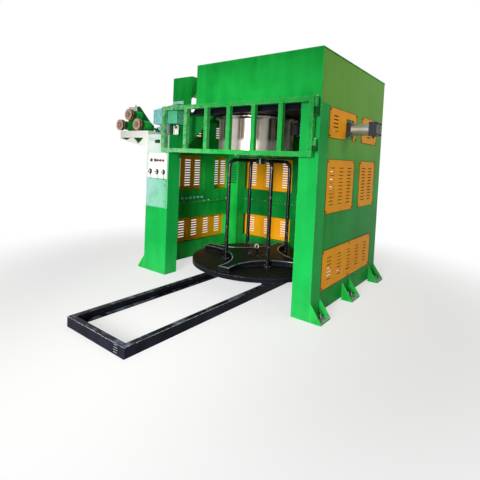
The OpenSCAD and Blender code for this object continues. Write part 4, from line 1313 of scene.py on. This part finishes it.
# %% Round bar on the base
BASE_THICK = 0.050
EYE_REACH = 0.2
park = middle("turntable").xy
star_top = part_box("spider_base")[0].z + BASE_THICK
star_edge = loops_on("spider_base", lambda point: abs(point.z - star_top) < TOUCH
                     and (point.xy - park).length > EYE_REACH)
# The bar's pale top is partly rubbed wear and partly a painted highlight.
bar("base_edge_bar", star_edge, (0.009, 10, 0.004), "black_paint", "worn_black_bar", "turntable", closed=True)

# %% [markdown]
# Bolts on the coil carrier: four on each leg's pad and a ring of them round the middle of the base. A
# ring of bolts also holds the round plate that closes the drum's hollow end. A ring is worked out from
# its radius and count, so the spacing is even without measuring.

# %% Carrier and drum bolts
LEG_CIRCLE, LEG_TURN = 0.421, math.radians(52.7)
PAD_THICK, PAD_BOLT_CIRCLE = 0.012, 0.038
END_PLATE = [(0, 0), (0.30, 0), (0.30, 0.004), (0.296, 0.008), (0.10, 0.008), (0.10, 0.014), (0, 0.014)]
PLATE_THICK = 0.008


def ring_of(x, y, z, radius, count, start=0.0):
    return [Vector((x + u, y + v, z)) for u, v in circle(radius, count, start)]


pad_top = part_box("turntable")[1].z + PAD_THICK
pad_points = []
for k in range(4):
    angle = LEG_TURN + k * math.pi / 2
    x, y = park.x + LEG_CIRCLE * math.cos(angle), park.y + LEG_CIRCLE * math.sin(angle)
    pad_points += ring_of(x, y, pad_top, PAD_BOLT_CIRCLE, 4, angle + math.pi / 4)
bolts("base_bolts", stand(ring_of(*park, star_top, 0.11, 8), UP), (0.013, 0.009, 0.017, 0.002),
      "black_paint", body="turntable")
bolts("pad_bolts", stand(pad_points, UP), (0.008, 0.006, 0.0105, 0.0015), "black_paint", body="turntable")

Shape().turned(END_PLATE, (drum_centre.x, drum_centre.y, drum_low.z), -UP, 72).piece(
    "drum_end_plate", "bare_steel", body="drum")
bolts("drum_plate_bolts", stand(ring_of(*drum_centre.xy, drum_low.z - PLATE_THICK, 0.27, 12), -UP),
      (0.010, 0.006, 0.013, 0.0015), body="drum")

# %% [markdown]
# The gate's hinges get pin heads, and the water fittings get hexagon nuts and a pipe. The pipe is a
# swept bar between the filter bowl and the nearer tap, inside the hood's shadow.

# %% Hinge pins and water fittings
PIPE_RISE = 0.055


def middle_x(box):
    return (box[0].x + box[1].x) / 2


pins = [(middle_x(box), gate_low.y + BAR / 2, box[1].z) for box in islands("gate_hinges")]
bolts("hinge_pin_heads", stand(pins, UP), (0.010, 0.005, 0.013, 0.002), "green_paint", "bare_steel", sides=18)

taps_y, pipe_z = middle("water_valves").y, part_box("water_valves")[0].z + PIPE_RISE
fittings = islands("water_valves")
nuts = [(middle_x(box), taps_y, box[0].z) for box in fittings]
bolts("water_nuts", stand(nuts, UP), (0.026, 0.014, 0.034, 0.003), "valve_metal")
pipe = [(middle_x(box), taps_y, pipe_z) for box in fittings[:2]]
bar("water_pipe", [pipe], (0.009, 14, 0.001), "valve_metal")

# %% [markdown]
# Inside, two sheets close the gap between the left wall and the deck, hung between the deck's beams. A
# row of small cleats sits above the wall's seam. They are few and plain, so a loop of prisms is enough.

# %% Closing sheets and cleats
BEAM_LOWEST, BEAM_TALLEST = wall_low.z + 0.6, 0.12
SHEET_X, SHEET, SHEET_REACH = -0.92, 0.003, 1.60
CLEATS, CLEAT_GAP, CLEAT_START, CLEAT_RISE = 6, 0.085, -0.45, 0.075

beams = [(low, high) for low, high in islands("left_top_frame")
         if low.z > BEAM_LOWEST and high.z - low.z < BEAM_TALLEST]
first_low, first_high = beams[0]
inner_sheets, cleats = Shape(), Shape()
for start, end in ((first_high.y, beams[1][0].y), (beams[1][1].y, column_back + SHEET_REACH)):
    inner_sheets.prism(rectangle(end - start, first_high.z - first_low.z),
                       (SHEET_X, (start + end) / 2, (first_low.z + first_high.z) / 2), SHEET, across=BACK)
for i in range(CLEATS):
    place = (-wall_low.x, CLEAT_START + i * CLEAT_GAP, SEAM_HEIGHT + CLEAT_RISE)
    cleats.prism(rectangle(0.050, 0.034), place, 0.010, across=BACK)
print("beams:", len(beams), "wall inner x", round(wall_low.x, 3))
inner_sheets.piece("closing_sheets", "green_paint", "inner_green", bevel=0.0008)
cleats.piece("hose_cleats", "bare_steel", "hood_paint", bevel=0.002)

# %% [markdown]
# Round the dies there is small pipework: an apron under the hood with two dark needle valves, a tap with
# two pins beside the die holder, and a drain cock on the front of the column. The valves and the drain
# cock are dark green with painted shade, and the apron takes the hood's painted sheen. A folded lip runs
# round the foot of the upper box, pale blue with a painted sheen.

# %% Fittings round the dies
NEEDLE = [(0, 0), (0.014, 0), (0.014, 0.020), (0.009, 0.024), (0.009, 0.040), (0.019, 0.043), (0.019, 0.050),
          (0, 0.050)]
TAP = [(0, 0), (0.020, 0), (0.020, 0.012), (0.014, 0.018), (0.014, 0.056), (0.021, 0.060), (0.021, 0.074),
       (0, 0.078)]
PIN = [(0, 0), (0.006, 0), (0.006, 0.110), (0.004, 0.118), (0, 0.118)]
APRON_X, APRON_Y, APRON = -1.108, -0.945, (0.075, 0.106, 0.006)
NEEDLES = ((-1.125, 0.070), (-1.090, 0.045))
HANDLE_REACH = 0.050
DRAIN_COCK = (-1.104, -1.014, -0.118, -0.072)
TAP_X, PINS_X, TAPS_Y = -0.765, (-0.800, -0.722), -0.955
LIP, LIP_THICK, OVERHANG = 0.048, 0.004, 0.220

column_top = column_high.z
apron, needles, taps, lips = Shape(), Shape(), Shape(), Shape()
apron.prism(rectangle(*APRON[:2]), (APRON_X, APRON_Y, column_top + APRON[1] / 2), APRON[2])
for x, z in NEEDLES:
    place = Vector((x, APRON_Y - APRON[2], column_top + z))
    needles.turned(NEEDLE, place, FRONT, 20)
    needles.prism(rectangle(0.044, 0.009), place + FRONT * HANDLE_REACH, 0.005)
cock_left, cock_right, cock_foot, cock_top = DRAIN_COCK
needles.prism(rounded(cock_left, cock_right, column_top + cock_foot, column_top + cock_top, 0.010),
              (0, face_y, 0), 0.016)
taps.turned(TAP, (TAP_X, TAPS_Y, column_top - 0.001), UP, 24)
for x in PINS_X:
    taps.turned(PIN, (x, TAPS_Y, column_top - 0.001), UP, 12)
box_low, box_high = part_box("upper_left_box")
box_levels = sorted({round(vert.co.z, 4) for vert in frame["nodes"]["upper_left_box"].data.vertices})
lip_z = box_levels[1] - LIP / 2
lips.prism(rectangle(OVERHANG, LIP), (box_low.x + OVERHANG / 2, box_low.y + LIP_THICK, lip_z), LIP_THICK)
lips.prism(rectangle(box_high.y - box_low.y, LIP), (box_low.x, (box_low.y + box_high.y) / 2, lip_z),
           LIP_THICK, across=BACK)
apron.piece("die_apron", "green_paint", "hood_paint", bevel=0.001)
needles.piece("needle_valves", "green_paint", "green_shadow", bevel=0.001)
taps.piece("die_taps", "valve_metal", "white_paint")
lips.piece("box_lip", "green_paint", "pale_blue_paint", bevel=0.0008)
print("box levels:", box_levels)

# %% [markdown]
# The script closes by measuring the box that holds the dressed machine.

# %% Close
low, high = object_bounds()
